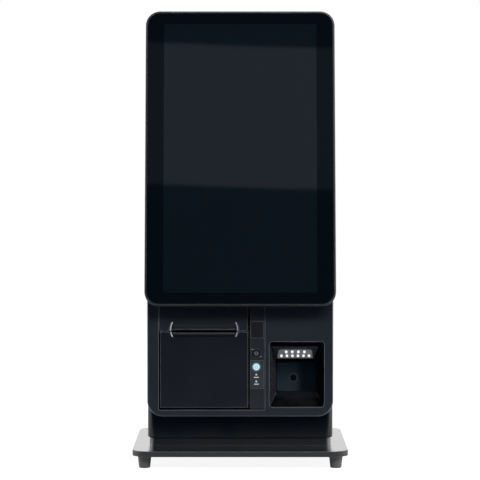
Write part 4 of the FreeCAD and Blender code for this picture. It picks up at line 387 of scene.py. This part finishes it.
finishes = {
    "housingShell": {
        "colour": (0.0012, 0.0017, 0.0032), "tone": (0.0018, 0.0024, 0.0042), "wornAndHighlight": (0.05, 0.055, 0.065),
        "wearAndHighlight": 0.4, "rough": (0.10, 0.16), "grainScale": 1800.0, "depth": 0.000004, "dust": 0.06},
    "plinthShell": {
        # painted highlight round the rounded edges
        "colour": (0.0085, 0.0096, 0.0125), "tone": (0.0102, 0.0114, 0.0146), "turn": (0.110, 0.113, 0.118),
        "wornAndHighlight": (0.10, 0.104, 0.11), "wearAndHighlight": 0.5, "rough": (0.28, 0.38), "grainScale": 1800.0,
        "depth": 0.000004, "dust": 0.06},
    "bezelShell": {
        # painted highlight round the rounded edges
        "colour": (0.0112, 0.0138, 0.0198), "tone": (0.0135, 0.0162, 0.0228), "turn": (0.170, 0.180, 0.205),
        "wornAndHighlight": (0.17, 0.178, 0.195), "wearAndHighlight": 1.0, "wearAndHighlightRadius": 0.0012, "rough": (0.30, 0.38),
        "grainScale": 1800.0, "depth": 0.000008, "dust": 0.05, "specular": 0.35},
    "doorSkin": {
        "colour": (0.0044, 0.0058, 0.0098), "tone": (0.0056, 0.0072, 0.0118),
        # painted shade: the door darkens towards its top, under the display
        "shade": {"axis": (0.0, 0.0, 1.0), "start": 0.10, "end": 0.16, "colour": (0.0032, 0.0044, 0.0082)},
        "calm": doorCalm, "matteTurn": 0.85, "dullScoop": 0.85,
        "wornAndHighlight": (0.19, 0.198, 0.215), "wearAndHighlight": 1.0, "wearAndHighlightRadius": 0.0012, "rough": (0.34, 0.44),
        "grainScale": 1400.0, "depth": 0.00001, "dust": 0.04, "specular": 0.3},
    # painted light: the lid is the door's plastic in a lighter copy
    "lidSkinPaintedLighter": {
        "colour": (0.0080, 0.0100, 0.0150), "tone": (0.0096, 0.0118, 0.0175),
        "calm": lidCalm, "matteTurn": 0.85,
        "wornAndHighlight": (0.19, 0.198, 0.215), "wearAndHighlight": 1.0, "wearAndHighlightRadius": 0.0012, "rough": (0.34, 0.44),
        "grainScale": 1400.0, "depth": 0.00001, "dust": 0.04, "specular": 0.3},
    "stripSkin": {
        "colour": (0.0105, 0.0122, 0.0165), "tone": (0.0125, 0.0143, 0.0190), "wornAndHighlight": (0.13, 0.138, 0.155),
        "wearAndHighlight": 0.9, "wearAndHighlightRadius": 0.0008, "rough": (0.34, 0.44), "grainScale": 1600.0, "depth": 0.000008,
        "dust": 0.04, "marks": lockStrokes, "specular": 0.35},
    "buttonCap": {
        "colour": (0.0062, 0.0072, 0.0105), "tone": (0.0076, 0.0087, 0.0124), "wornAndHighlight": (0.12, 0.125, 0.135),
        "wearAndHighlight": 0.7, "wearAndHighlightRadius": 0.0008, "rough": (0.3, 0.42), "grainScale": 2000.0, "depth": 0.000006,
        "markScale": 60.0, "dust": 0.03, "specular": 0.35},
    "greyPanel": {
        "colour": (0.019, 0.0225, 0.0275), "tone": (0.023, 0.0265, 0.032), "wornAndHighlight": (0.12, 0.125, 0.135),
        "wearAndHighlight": 0.7, "rough": (0.4, 0.5), "grainScale": 2600.0, "depth": 0.000006, "dust": 0.03,
        "marks": labels, "halo": {**ringAt(panelX, powerZ, panelMarks["powerRing"]),
                                  "Soft": panelMarks["haloSoft"]},
        "haloColour": (0.03, 0.10, 0.12), "haloStrength": 1.0, "specular": 0.35},
    "innerPlastic": {
        "colour": (0.010, 0.0105, 0.012), "tone": (0.015, 0.0155, 0.017), "wornAndHighlight": (0.05, 0.05, 0.052),
        "wearAndHighlight": 0.4, "rough": (0.5, 0.65), "grainScale": 1200.0, "depth": 0.00002, "dust": 0.25},
    "engineCase": {
        "colour": (0.200, 0.245, 0.265), "tone": (0.240, 0.290, 0.310), "wornAndHighlight": (0.20, 0.21, 0.22),
        # painted shade: the reader darkens towards its right side
        "shade": {"axis": (1.0, 0.0, 0.0), "start": 0.070, "end": 0.080, "colour": (0.018, 0.026, 0.042)},
        "wearAndHighlight": 0.3, "rough": (0.5, 0.65), "grainScale": 1200.0, "depth": 0.00002},
    "headEdge": {
        # painted highlight round the front edge of the frame
        "colour": (0.0060, 0.0072, 0.0095), "tone": (0.0080, 0.0094, 0.0120), "turn": (0.040, 0.0425, 0.047),
        "turnAxis": (0.0, -0.985, 0.174), "matteTurn": 0.6, "wornAndHighlight": (0.16, 0.165, 0.175), "wearAndHighlight": 0.5,
        "wearAndHighlightRadius": 0.0010, "rough": (0.22, 0.32), "grainScale": 1600.0, "depth": 0.000006, "dust": 0.06,
        "specular": 0.2},
    "headShell": {
        "colour": (0.0105, 0.0113, 0.0130), "tone": (0.0135, 0.0144, 0.0163), "wornAndHighlight": (0.09, 0.093, 0.10),
        "wearAndHighlight": 0.5, "wearAndHighlightRadius": 0.0008, "rough": (0.42, 0.55), "grainScale": 900.0, "depth": 0.00003,
        "dust": 0.12},
    "footRubber": {
        "colour": (0.052, 0.056, 0.062), "tone": (0.068, 0.072, 0.078), "wornAndHighlight": (0.16, 0.16, 0.165),
        "wearAndHighlight": 0.5, "wearAndHighlightRadius": 0.0008, "rough": (0.55, 0.7), "grainScale": 700.0, "depth": 0.00006,
        "dust": 0.2},
    "rollerRubber": {
        "colour": (0.02, 0.02, 0.021), "tone": (0.028, 0.028, 0.029), "wornAndHighlight": (0.08, 0.08, 0.08),
        "wearAndHighlight": 0.3, "rough": (0.6, 0.75), "grainScale": 1500.0, "depth": 0.00003,
        "lines": (900.0, 30.0, 30.0)},
    "zincSheet": {
        "colour": (0.50, 0.51, 0.52), "tone": (0.60, 0.61, 0.62), "wornAndHighlight": (0.75, 0.75, 0.75),
        "wearAndHighlight": 0.5, "rough": (0.28, 0.45), "grainScale": 300.0, "patch": 140.0, "depth": 0.00002,
        "dust": 0.2, "metallic": 1.0},
    "blackedSteel": {
        "colour": (0.018, 0.018, 0.020), "tone": (0.028, 0.028, 0.030), "wornAndHighlight": (0.16, 0.16, 0.16),
        "wearAndHighlight": 0.4, "rough": (0.45, 0.6), "grainScale": 700.0, "depth": 0.00002, "dust": 0.15,
        "metallic": 0.8},
    "groundSteel": {
        "colour": (0.56, 0.565, 0.57), "tone": (0.63, 0.63, 0.64), "wornAndHighlight": (0.8, 0.8, 0.8),
        "wearAndHighlight": 0.4, "rough": (0.2, 0.34), "grainScale": 800.0, "depth": 0.00001, "dust": 0.08,
        "lines": (30.0, 2200.0, 2200.0), "metallic": 1.0},
    "tearSteel": {
        "colour": (0.020, 0.021, 0.023), "tone": (0.030, 0.032, 0.035), "wornAndHighlight": (0.10, 0.105, 0.11),
        "wearAndHighlight": 0.6, "wearAndHighlightRadius": 0.0003, "rough": (0.35, 0.5), "grainScale": 900.0, "depth": 0.00001,
        "lines": (1800.0, 40.0, 40.0), "metallic": 1.0},
    "screwSteel": {
        "colour": (0.05, 0.05, 0.052), "tone": (0.08, 0.08, 0.083), "wornAndHighlight": (0.4, 0.4, 0.4),
        "wearAndHighlight": 0.6, "wearAndHighlightRadius": 0.0004, "rough": (0.35, 0.5), "grainScale": 1200.0, "depth": 0.00002,
        "metallic": 1.0},
    "aluminiumFins": {
        "colour": (0.60, 0.61, 0.62), "tone": (0.68, 0.69, 0.70), "wornAndHighlight": (0.82, 0.82, 0.82),
        "wearAndHighlight": 0.5, "rough": (0.32, 0.45), "grainScale": 900.0, "depth": 0.00002,
        "lines": (1800.0, 1800.0, 30.0), "metallic": 1.0},
    "brassGear": {
        "colour": (0.62, 0.43, 0.16), "tone": (0.70, 0.50, 0.21), "wornAndHighlight": (0.85, 0.68, 0.36),
        "wearAndHighlight": 0.6, "rough": (0.25, 0.4), "grainScale": 900.0, "depth": 0.00001, "metallic": 1.0},
    "acetalGear": {
        "colour": (0.62, 0.60, 0.54), "tone": (0.70, 0.68, 0.62), "wornAndHighlight": (0.80, 0.79, 0.75),
        "wearAndHighlight": 0.4, "rough": (0.35, 0.5), "grainScale": 900.0, "depth": 0.00002},
    "lockBlack": {
        "colour": (0.004, 0.0045, 0.006), "tone": (0.006, 0.0066, 0.008), "wornAndHighlight": (0.10, 0.10, 0.105),
        "wearAndHighlight": 0.6, "rough": (0.25, 0.38), "grainScale": 1500.0, "depth": 0.00001, "markScale": 90.0,
        "metallic": 0.6},
    "plugNickel": {
        "colour": (0.020, 0.021, 0.023), "tone": (0.030, 0.031, 0.034), "wornAndHighlight": (0.4, 0.4, 0.4),
        "wearAndHighlight": 0.4, "wearAndHighlightRadius": 0.0003, "rough": (0.25, 0.4), "grainScale": 1500.0, "depth": 0.00001,
        "markScale": 90.0, "marks": [plugRing], "metallic": 0.3},
    "bayShell": {
        "colour": (0.0011, 0.0021, 0.0038), "tone": (0.0016, 0.0028, 0.0048),
        # painted shade: the bay's floor, low in the recess, is darker
        "shade": {"axis": (0.0, 0.0, -1.0), "start": -0.088, "end": -0.081,
                  "colour": (0.0003, 0.0004, 0.0007)},
        # painted light: the bay's left wall, which faces right, is lighter
        "facing": {"axis": (0.98, -0.2, 0.0), "start": 0.5, "end": 0.9, "colour": (0.020, 0.021, 0.025)},
        "wornAndHighlight": (0.12, 0.13, 0.145), "wearAndHighlight": 1.0, "wearAndHighlightRadius": 0.0008, "rough": (0.22, 0.32),
        "grainScale": 2000.0, "depth": 0.000004, "dust": 0.0, "specular": 0.05},
    "lightBarShell": {
        "colour": (0.022, 0.025, 0.030), "tone": (0.028, 0.031, 0.037), "wornAndHighlight": (0.18, 0.185, 0.195),
        "wearAndHighlight": 0.9, "rough": (0.35, 0.45), "grainScale": 2400.0, "depth": 0.000006, "dust": 0.02,
        "specular": 0.35},
    "ceramicBar": {
        "colour": (0.66, 0.64, 0.58), "tone": (0.74, 0.73, 0.68), "wornAndHighlight": (0.8, 0.8, 0.78),
        "wearAndHighlight": 0.2, "rough": (0.15, 0.25), "grainScale": 600.0, "depth": 0.00001},
}
materials = {name: makeFinish(name, look) for name, look in finishes.items()}
print("plain finishes ready:", len(materials))

# the lines glow as light guides; the left line's brighter colour is a painted highlight
guideLine = {"edgeInset": 0.0022, "bend": 0.01819, "width": 0.0012, "seamGap": 0.0009,
             "left": (0.34, 0.35, 0.37), "right": (0.20, 0.21, 0.225)}
seamBreak = barAt(scoopMiddle, (scoopSeam.z + seamHigh.z) / 2, scoopSeam.x - scoopLow.x, guideLine["seamGap"])


# The lit line of a scoop guide follows the edge of the scoop, on the left (-1) or right (1), and
# stops at the seam between the lid and the door.
def crescent(side, look):
    outermost = scoopLow.x if side < 0 else scoopSeam.x
    line = ringAt(outermost - side * (look["edgeInset"] + look["bend"]), (scoopLow.z + scoopHigh.z) / 2,
                  inner=look["bend"], outer=look["bend"] + look["width"])
    return ringMark(look["left"] if side < 0 else look["right"], line, seamBreak)


powerMark = {"ink": (0.22, 0.50, 0.62), "outer": 0.0021, "inner": 0.0013, "gapRise": 0.0016,
             "gapHalf": (0.0006, 0.0008), "strokeRise": 0.0012, "strokeHalf": (0.0003, 0.0009)}


# the usual power sign: a ring that is open at the top, with a stroke in the opening
def powerSign(look):
    gap = barAt(panelX, powerZ + look["gapRise"], *look["gapHalf"])
    stroke = barAt(panelX, powerZ + look["strokeRise"], *look["strokeHalf"])
    return [ringMark(look["ink"], ringAt(panelX, powerZ, look["outer"], look["inner"]), gap),
            barMark(look["ink"], stroke)]


lampMark = {"radius": 0.0014, "upper": (0.75, 0.42, 0.44), "lower": (0.55, 0.62, 0.66)}
lampMarks = [ringMark(lampMark["upper"], ringAt(panelX, lampZ[1], lampMark["radius"])),
             ringMark(lampMark["lower"], ringAt(panelX, lampZ[0], lampMark["radius"]))]

glows = {
    "scoopGuide": {
        "dim": (0.010, 0.011, 0.013), "bright": (0.014, 0.015, 0.018), "body": (0.03, 0.032, 0.036),
        "rim": {"start": 0.0009, "end": 0.00054, "deep": (0.004, 0.005, 0.007)}, "scale": 240.0,
        "marks": [crescent(side, guideLine) for side in (-1, 1)]},
    "ledLight": {
        "dim": (0.85, 0.87, 0.90), "bright": (1.0, 1.0, 1.0), "body": (0.3, 0.3, 0.3), "scale": 900.0},
    "barDiffuser": {
        "dim": (0.05, 0.053, 0.056), "bright": (0.10, 0.104, 0.11), "body": (0.16, 0.165, 0.17),
        "scale": 260.0, "strength": 0.9},
    "powerLight": {
        "dim": (0.60, 0.88, 1.0), "bright": (0.80, 0.96, 1.0), "body": (0.02, 0.03, 0.035),
        "scale": 700.0, "strength": 0.95, "marks": powerSign(powerMark)},
    "statusGuides": {
        "dim": (0.22, 0.42, 0.48), "bright": (0.34, 0.56, 0.62), "body": (0.12, 0.16, 0.17),
        "scale": 700.0, "strength": 0.7, "marks": lampMarks},
}
usualGlow = {"strength": 1.0, "mottle": 0.85, "marks": []}
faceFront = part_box("printer_door")[0].y


# Light guides and lamps glow a little unevenly. One that has a rim stays dark further in.
def makeGlow(name, entry):
    look = {**usualGlow, **entry}
    material, tree, shader = startMaterial(name)
    place = objectPlace(tree)
    cloud = noise(tree, place, Scale=look["scale"], Detail=2.0)
    glow = blendColours(tree, remap(tree, cloud, *noiseSpan), look["dim"], look["bright"])
    glow = addMarks(tree, glow, look["marks"])
    body = mottle(tree, cloud, look["body"], look["mottle"])
    if "rim" in look:
        rim = look["rim"]
        depth = subtract(tree, splitVector(tree, place)["Y"], faceFront)
        atRim = remap(tree, depth, rim["start"], rim["end"])
        glow = blendColours(tree, atRim, unlit, glow)
        body = blendColours(tree, atRim, rim["deep"], body)
    gloss = useGroup(tree, handling, Scale=60.0, Smooth=0.15, Rough=0.3)["Roughness"]
    fillInputs(tree, shader, {"Base Color": body, "Roughness": gloss, "Emission Color": glow,
                              "Emission Strength": look["strength"]})
    return material


materials.update({name: makeGlow(name, look) for name, look in glows.items()})
print("lights ready:", len(glows))

plateLook = {"top": (0.0050, 0.0058, 0.0075), "topTone": (0.0070, 0.0080, 0.0100), "topRough": (0.19, 0.25),
             "side": (0.017, 0.0175, 0.019), "sideRough": 0.42, "slopeLow": 0.55, "slopeHigh": 0.95,
             "wornAndHighlight": (0.22, 0.222, 0.228), "clear": 1.0, "depth": 0.000001, "bump": 0.6}


# The base plate: polished black lacquer on top, dull lacquer round its edge.
def makePlateLacquer(name, look):
    material, tree, shader = startMaterial(name)
    grain = useGroup(tree, fineGrain, Scale=1400.0, Patch=18.0)
    onTop = remap(tree, splitVector(tree, faceNormal(tree))["Z"], look["slopeLow"], look["slopeHigh"])
    wornAndHighlight = useGroup(tree, edgeWearAndHighlight, Radius=0.0010, Breakup=160.0, Amount=0.25)["Mask"]
    dust = useGroup(tree, settledDust, Amount=0.05, Scale=260.0)["Mask"]
    smooth, rough = look["topRough"]
    gloss = useGroup(tree, handling, Scale=11.0, Smooth=smooth, Rough=rough)["Roughness"]
    top = blendColours(tree, grain["Tone"], look["top"], look["topTone"])
    colour = blendColours(tree, wornAndHighlight, blendColours(tree, onTop, look["side"], top), look["wornAndHighlight"])
    fillInputs(tree, shader, {"Base Color": blendColours(tree, dust, colour, dustColour),
                              "Roughness": blendValues(tree, onTop, look["sideRough"], gloss),
                              "Coat Weight": multiply(tree, onTop, look["clear"]), "Coat Roughness": 0.2,
                              "Specular IOR Level": 0.4,
                              "Normal": bumpNormal(tree, grain["Height"], look["depth"], look["bump"])})
    return material


glassLook = {"tilt": 10.0, "screenWidth": 0.1936, "screenHeight": 0.3442, "edge": 0.0002, "coat": 0.9,
             "print": (0.0011, 0.0019, 0.0030), "screen": (0.0024, 0.0034, 0.0046), "mottle": 1.15,
             "wornAndHighlight": (0.05, 0.055, 0.06)}


# Black printed cover glass over the switched-off screen, which reads a little lighter.
def makeCoverGlass(name, look):
    material, tree, shader = startMaterial(name)
    low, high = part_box("touch_glass")
    tilt = math.radians(look["tilt"])
    upward = Vector((0, math.sin(tilt), math.cos(tilt)))
    place = objectPlace(tree)
    height = subtract(tree, lengthAlong(tree, place, upward), ((low + high) / 2).dot(upward))
    within = []
    for away, size in ((height, "screenHeight"), (splitVector(tree, place)["X"], "screenWidth")):
        half = look[size] / 2
        away = calculate(tree, "ABSOLUTE", away)
        within.append(remap(tree, away, half + look["edge"], half - look["edge"]))
    lit = multiply(tree, *within)
    cells = noise(tree, place, Scale=30.0, Detail=3.0)
    screen = mottle(tree, cells, look["screen"], look["mottle"])
    colour = blendColours(tree, lit, look["print"], screen)
    wornAndHighlight = useGroup(tree, edgeWearAndHighlight, Radius=0.0008, Amount=0.6)["Mask"]
    gloss = useGroup(tree, handling, Scale=9.0, Smooth=0.01, Rough=0.03)["Roughness"]
    fillInputs(tree, shader, {"Base Color": blendColours(tree, wornAndHighlight, colour, look["wornAndHighlight"]),
                              "Roughness": gloss, "IOR": 1.5,
                              "Coat Weight": multiply(tree, lit, look["coat"]),
                              "Coat Roughness": 0.012, "Coat IOR": 1.7})
    return material


paperLook = {"white": (0.82, 0.82, 0.80), "shade": (0.66, 0.65, 0.62), "layer": 0.0006, "ringLow": -0.6,
             "ringHigh": 1.6, "rough": (0.55, 0.75), "depth": 0.00004, "bump": 0.5}


# Paper wound on a roll: fine rings on the ends, a plain soft white face.
def makePaper(name, look):
    material, tree, shader = startMaterial(name)
    radius = distanceFromMiddle(tree, "paper_roll", (0.0, 1.0, 1.0))
    turns = calculate(tree, "SINE", multiply(tree, radius, 2 * math.pi / look["layer"]))
    drift = noise(tree, objectPlace(tree), Scale=90.0, Detail=4.0)
    rings = remap(tree, calculate(tree, "ADD", turns, drift), look["ringLow"], look["ringHigh"])
    fillInputs(tree, shader, {"Base Color": blendColours(tree, rings, look["shade"], look["white"]),
                              "Roughness": remap(tree, drift, *noiseSpan, *look["rough"]),
                              "Normal": bumpNormal(tree, turns, look["depth"], look["bump"])})
    return material


boardLook = {"mask": (0.012, 0.075, 0.036), "copper": (0.03, 0.15, 0.06), "depth": 0.00005, "bump": 0.5}


# Solder mask, paler where copper runs under it.
def makeBoard(name, look):
    material, tree, shader = startMaterial(name)
    runs = addNode(tree, "ShaderNodeTexBrick", {"Vector": objectPlace(tree), "Scale": 90.0,
                                                "Mortar Size": 0.05, "Color1": (0, 0, 0, 1),
                                                "Color2": (0.2, 0.2, 0.2, 1), "Mortar": (1, 1, 1, 1)})
    tracks = addNode(tree, "ShaderNodeSeparateColor", {0: runs.outputs[0]}).outputs[0]
    gloss = useGroup(tree, handling, Scale=30.0, Smooth=0.3, Rough=0.45)["Roughness"]
    fillInputs(tree, shader, {"Base Color": blendColours(tree, tracks, look["mask"], look["copper"]),
                              "Roughness": gloss,
                              "Normal": bumpNormal(tree, tracks, look["depth"], look["bump"])})
    return material


windowLook = {"tint": (0.38, 0.41, 0.45), "mottle": 1.2, "rough": (0.02, 0.06)}


# Tinted window in front of the reader.
def makeWindow(name, look):
    material, tree, shader = startMaterial(name)
    haze = noise(tree, objectPlace(tree), Scale=60.0, Detail=4.0)
    fillInputs(tree, shader, {"Base Color": mottle(tree, haze, look["tint"], look["mottle"]),
                              "Roughness": remap(tree, haze, *noiseSpan, *look["rough"]),
                              "Transmission Weight": 1.0, "IOR": 1.45})
    return material


lensLook = {"barrel": (0.30, 0.305, 0.31), "mottle": 1.3, "barrelRough": 0.42, "glassRadius": 0.004,
            "edge": 0.0001, "pupil": (0.0012, 0.0012, 0.0022), "glassRough": 0.08}


# Lens: a barrel whose hollow holds dark coated glass with a faint blue cast.
def makeLens(name, look):
    material, tree, shader = startMaterial(name)
    radius = distanceFromMiddle(tree, "scan_lens", (1.0, 0.0, 1.0))
    inside = remap(tree, radius, look["glassRadius"] + look["edge"], look["glassRadius"] - look["edge"])
    grain = useGroup(tree, fineGrain, Scale=2500.0)["Tone"]
    barrel = mottle(tree, grain, look["barrel"], look["mottle"])
    roughness = blendValues(tree, inside, look["barrelRough"], look["glassRough"])
    fillInputs(tree, shader, {"Base Color": blendColours(tree, inside, barrel, look["pupil"]),
                              "Roughness": roughness})
    return material


specials = {"plateLacquer": (makePlateLacquer, plateLook), "coverGlass": (makeCoverGlass, glassLook),
            "rollPaper": (makePaper, paperLook), "boardMask": (makeBoard, boardLook),
            "tintedWindow": (makeWindow, windowLook), "lensBarrel": (makeLens, lensLook)}
materials.update({name: make(name, look) for name, (make, look) in specials.items()})
print("special finishes ready:", len(materials))

nodeFinish = {
    "housingShell": ["rear_housing"],
    "plinthShell": ["plinth"],
    "headShell": ["head_rear_cover", "neck_cover"],
    "plateLacquer": ["base_plate"],
    "bezelShell": ["front_bezel"],
    "doorSkin": ["printer_door"],
    "lidSkinPaintedLighter": ["printer_lid"],
    "stripSkin": ["strip_panel"],
    "buttonCap": ["release_button"],
    "greyPanel": ["status_panel"],
    "innerPlastic": ["door_liner", "paper_bin", "display_panel", "power_inlet"],
    "engineCase": ["scan_engine"],
    "headEdge": ["head_frame", "neck_post"],
    "footRubber": ["foot_front_left", "foot_front_right", "foot_rear_left", "foot_rear_right"],
    "rollerRubber": ["platen_sleeve"],
    "zincSheet": ["chassis_pan", "cutter_guide", "cutter_motor", "data_sockets"],
    "blackedSteel": ["printer_frame", "latch_lever", "lock_cam", "stepper_motor", "hinge_pins", "fixed_blade",
                     "cutter_blade"],
    "groundSteel": ["platen_shaft", "head_springs"],
    "tearSteel": ["tear_bar"],
    "screwSteel": ["foot_screws", "head_screws"],
    "aluminiumFins": ["head_heat_sink"],
    "brassGear": ["motor_gear"],
    "acetalGear": ["platen_gear", "idler_gear", "cutter_pinion"],
    "lockBlack": ["lock_barrel"],
    "plugNickel": ["lock_plug"],
    "bayShell": ["bay_shroud"],
    "lightBarShell": ["light_bar"],
    "ceramicBar": ["print_head"],
    "scoopGuide": ["lid_light_guides", "door_light_guides"],
    "ledLight": ["light_leds"],
    "barDiffuser": ["light_diffuser"],
    "powerLight": ["power_button"],
    "statusGuides": ["status_light_guides"],
    "coverGlass": ["touch_glass"],
    "rollPaper": ["paper_roll"],
    "boardMask": ["main_board"],
    "tintedWindow": ["scan_window"],
    "lensBarrel": ["scan_lens"],
}


def paint(piece, materialName):
    piece.data.materials.clear()
    piece.data.materials.append(materials[materialName])
    for face in piece.data.polygons:
        face.material_index = 0


for materialName, names in nodeFinish.items():
    for name in names:
        paint(nodes[name], materialName)
unpainted = set(nodes) - {name for names in nodeFinish.values() for name in names}
print("nodes painted:", len(nodes) - len(unpainted), "left:", sorted(unpainted))

# long lens, a little above the middle, looking slightly down
cameraLook = {"place": (-0.0003, -2.905, 0.3846), "pitch": 2.05, "lens": 168.3, "sensor": 36, "farthest": 50}


def makeCamera(look):
    camera = bpy.data.objects.new("frontCamera", bpy.data.cameras.new("frontCamera"))
    camera.location = look["place"]
    camera.rotation_euler = (math.radians(90 - look["pitch"]), 0, 0)
    camera.data.lens = look["lens"]
    camera.data.sensor_width = look["sensor"]
    camera.data.clip_end = look["farthest"]
    bpy.context.scene.collection.objects.link(camera)
    bpy.context.scene.camera = camera


makeCamera(cameraLook)
print("camera ready")

floorLook = {"size": 2.6, "front": -0.3, "albedo": (0.62, 0.62, 0.62), "shadowShare": 0.3, "glow": 1.3}


# A pale card under the object. The camera sees it nearly white, with the object's shadow on it.
def makeFloor(look):
    half = look["size"] / 2
    front, back = look["front"], look["front"] + look["size"]
    mesh = bpy.data.meshes.new("floor")
    mesh.from_pydata([(-half, front, 0), (half, front, 0), (half, back, 0), (-half, back, 0)], [],
                     [(0, 1, 2, 3)])
    floor = bpy.data.objects.new("floor", mesh)
    bpy.context.scene.collection.objects.link(floor)
    material = bpy.data.materials.new("floorPaper")
    material.use_nodes = True
    tree = material.node_tree
    tree.nodes.clear()
    ray = addNode(tree, "ShaderNodeLightPath").outputs
    seen = calculate(tree, "MAXIMUM", ray["Is Camera Ray"], ray["Is Transmission Ray"])
    share = multiply(tree, seen, 1 - look["shadowShare"])
    card = addNode(tree, "ShaderNodeBsdfDiffuse", {"Color": (*look["albedo"], 1)}).outputs[0]
    glow = addNode(tree, "ShaderNodeEmission", {"Color": (1, 1, 1, 1), "Strength": look["glow"]}).outputs[0]
    both = addNode(tree, "ShaderNodeMixShader", {0: share, 1: card, 2: glow}).outputs[0]
    addNode(tree, "ShaderNodeOutputMaterial", {"Surface": both})
    mesh.materials.append(material)


makeFloor(floorLook)

worldLook = {"white": (1.0, 1.0, 1.0), "fillFront": (0.06, 0.07, 0.09), "fillRound": (0.80, 0.81, 0.83),
             "fillStart": -0.3, "fillEnd": 0.35, "room": (0.012, 0.035, 0.060), "roomStart": 0.08,
             "roomEnd": 0.62, "band": (0.115, 0.155, 0.195), "bandLow": 0.3305, "bandHigh": 0.389,
             "skew": 0.03, "edge": 0.0007}


# White behind the object. The room in front of it is dark, with one paler band across it.
def makeWorld(look):
    world = bpy.data.worlds.new("studio")
    bpy.context.scene.world = world
    world.use_nodes = True
    tree = world.node_tree
    tree.nodes.clear()
    direction = splitVector(tree, addNode(tree, "ShaderNodeTexCoord").outputs["Generated"])
    front = multiply(tree, direction["Y"], -1.0)
    inRoom = addNode(tree, "ShaderNodeMapRange", {"Value": front, "From Min": look["roomStart"],
                                                  "From Max": look["roomEnd"]},
                     interpolation_type="SMOOTHSTEP").outputs[0]
    level = calculate(tree, "ADD", direction["Z"], multiply(tree, direction["X"], look["skew"]))
    above = remap(tree, level, look["bandLow"] - look["edge"], look["bandLow"] + look["edge"])
    below = remap(tree, level, look["bandHigh"] + look["edge"], look["bandHigh"] - look["edge"])
    room = blendColours(tree, multiply(tree, above, below), look["room"], look["band"])
    mirrored = blendColours(tree, inRoom, look["white"], room)
    fill = blendColours(tree, remap(tree, front, look["fillStart"], look["fillEnd"]), look["fillRound"],
                        look["fillFront"])
    ray = addNode(tree, "ShaderNodeLightPath").outputs
    clear = calculate(tree, "MAXIMUM", ray["Is Glossy Ray"], ray["Is Transmission Ray"])
    lit = blendColours(tree, clear, fill, mirrored)
    shown = blendColours(tree, ray["Is Camera Ray"], lit, look["white"])
    background = addNode(tree, "ShaderNodeBackground", {"Color": shown, "Strength": 1.0}).outputs[0]
    addNode(tree, "ShaderNodeOutputWorld", {"Surface": background})


makeWorld(worldLook)

lamps = {
    "overheadFront": {"place": (0.5, -2.2, 2.42), "aim": (0, -0.05, 0.25), "size": (1.6, 0.68),
                      "power": 68.0},
    "softLeft": {"place": (-1.5, -1.6, 1.7), "aim": (0, 0, 0.25), "size": (0.8, 0.8), "power": 5.0},
    "softRight": {"place": (1.5, -1.6, 1.6), "aim": (0, 0, 0.2), "size": (0.8, 0.8), "power": 32.0},
    "sideLeft": {"place": (-1.5, 0.12, 0.5), "aim": (0, 0, 0.28), "size": (0.7, 1.3), "power": 13.0},
    "sideRight": {"place": (1.5, 0.12, 0.5), "aim": (0, 0, 0.28), "size": (0.7, 1.3), "power": 13.0},
}


def makeLamp(name, look):
    light = bpy.data.objects.new(name, bpy.data.lights.new(name, "AREA"))
    light.data.shape = "RECTANGLE"
    light.data.size, light.data.size_y = look["size"]
    light.data.energy = look["power"]
    light.location = look["place"]
    light.rotation_euler = (Vector(look["aim"]) - Vector(look["place"])).to_track_quat("-Z", "Y").to_euler()
    bpy.context.scene.collection.objects.link(light)


for name, look in lamps.items():
    makeLamp(name, look)
print("studio ready")

bpy.context.scene.view_settings.view_transform = "Standard"
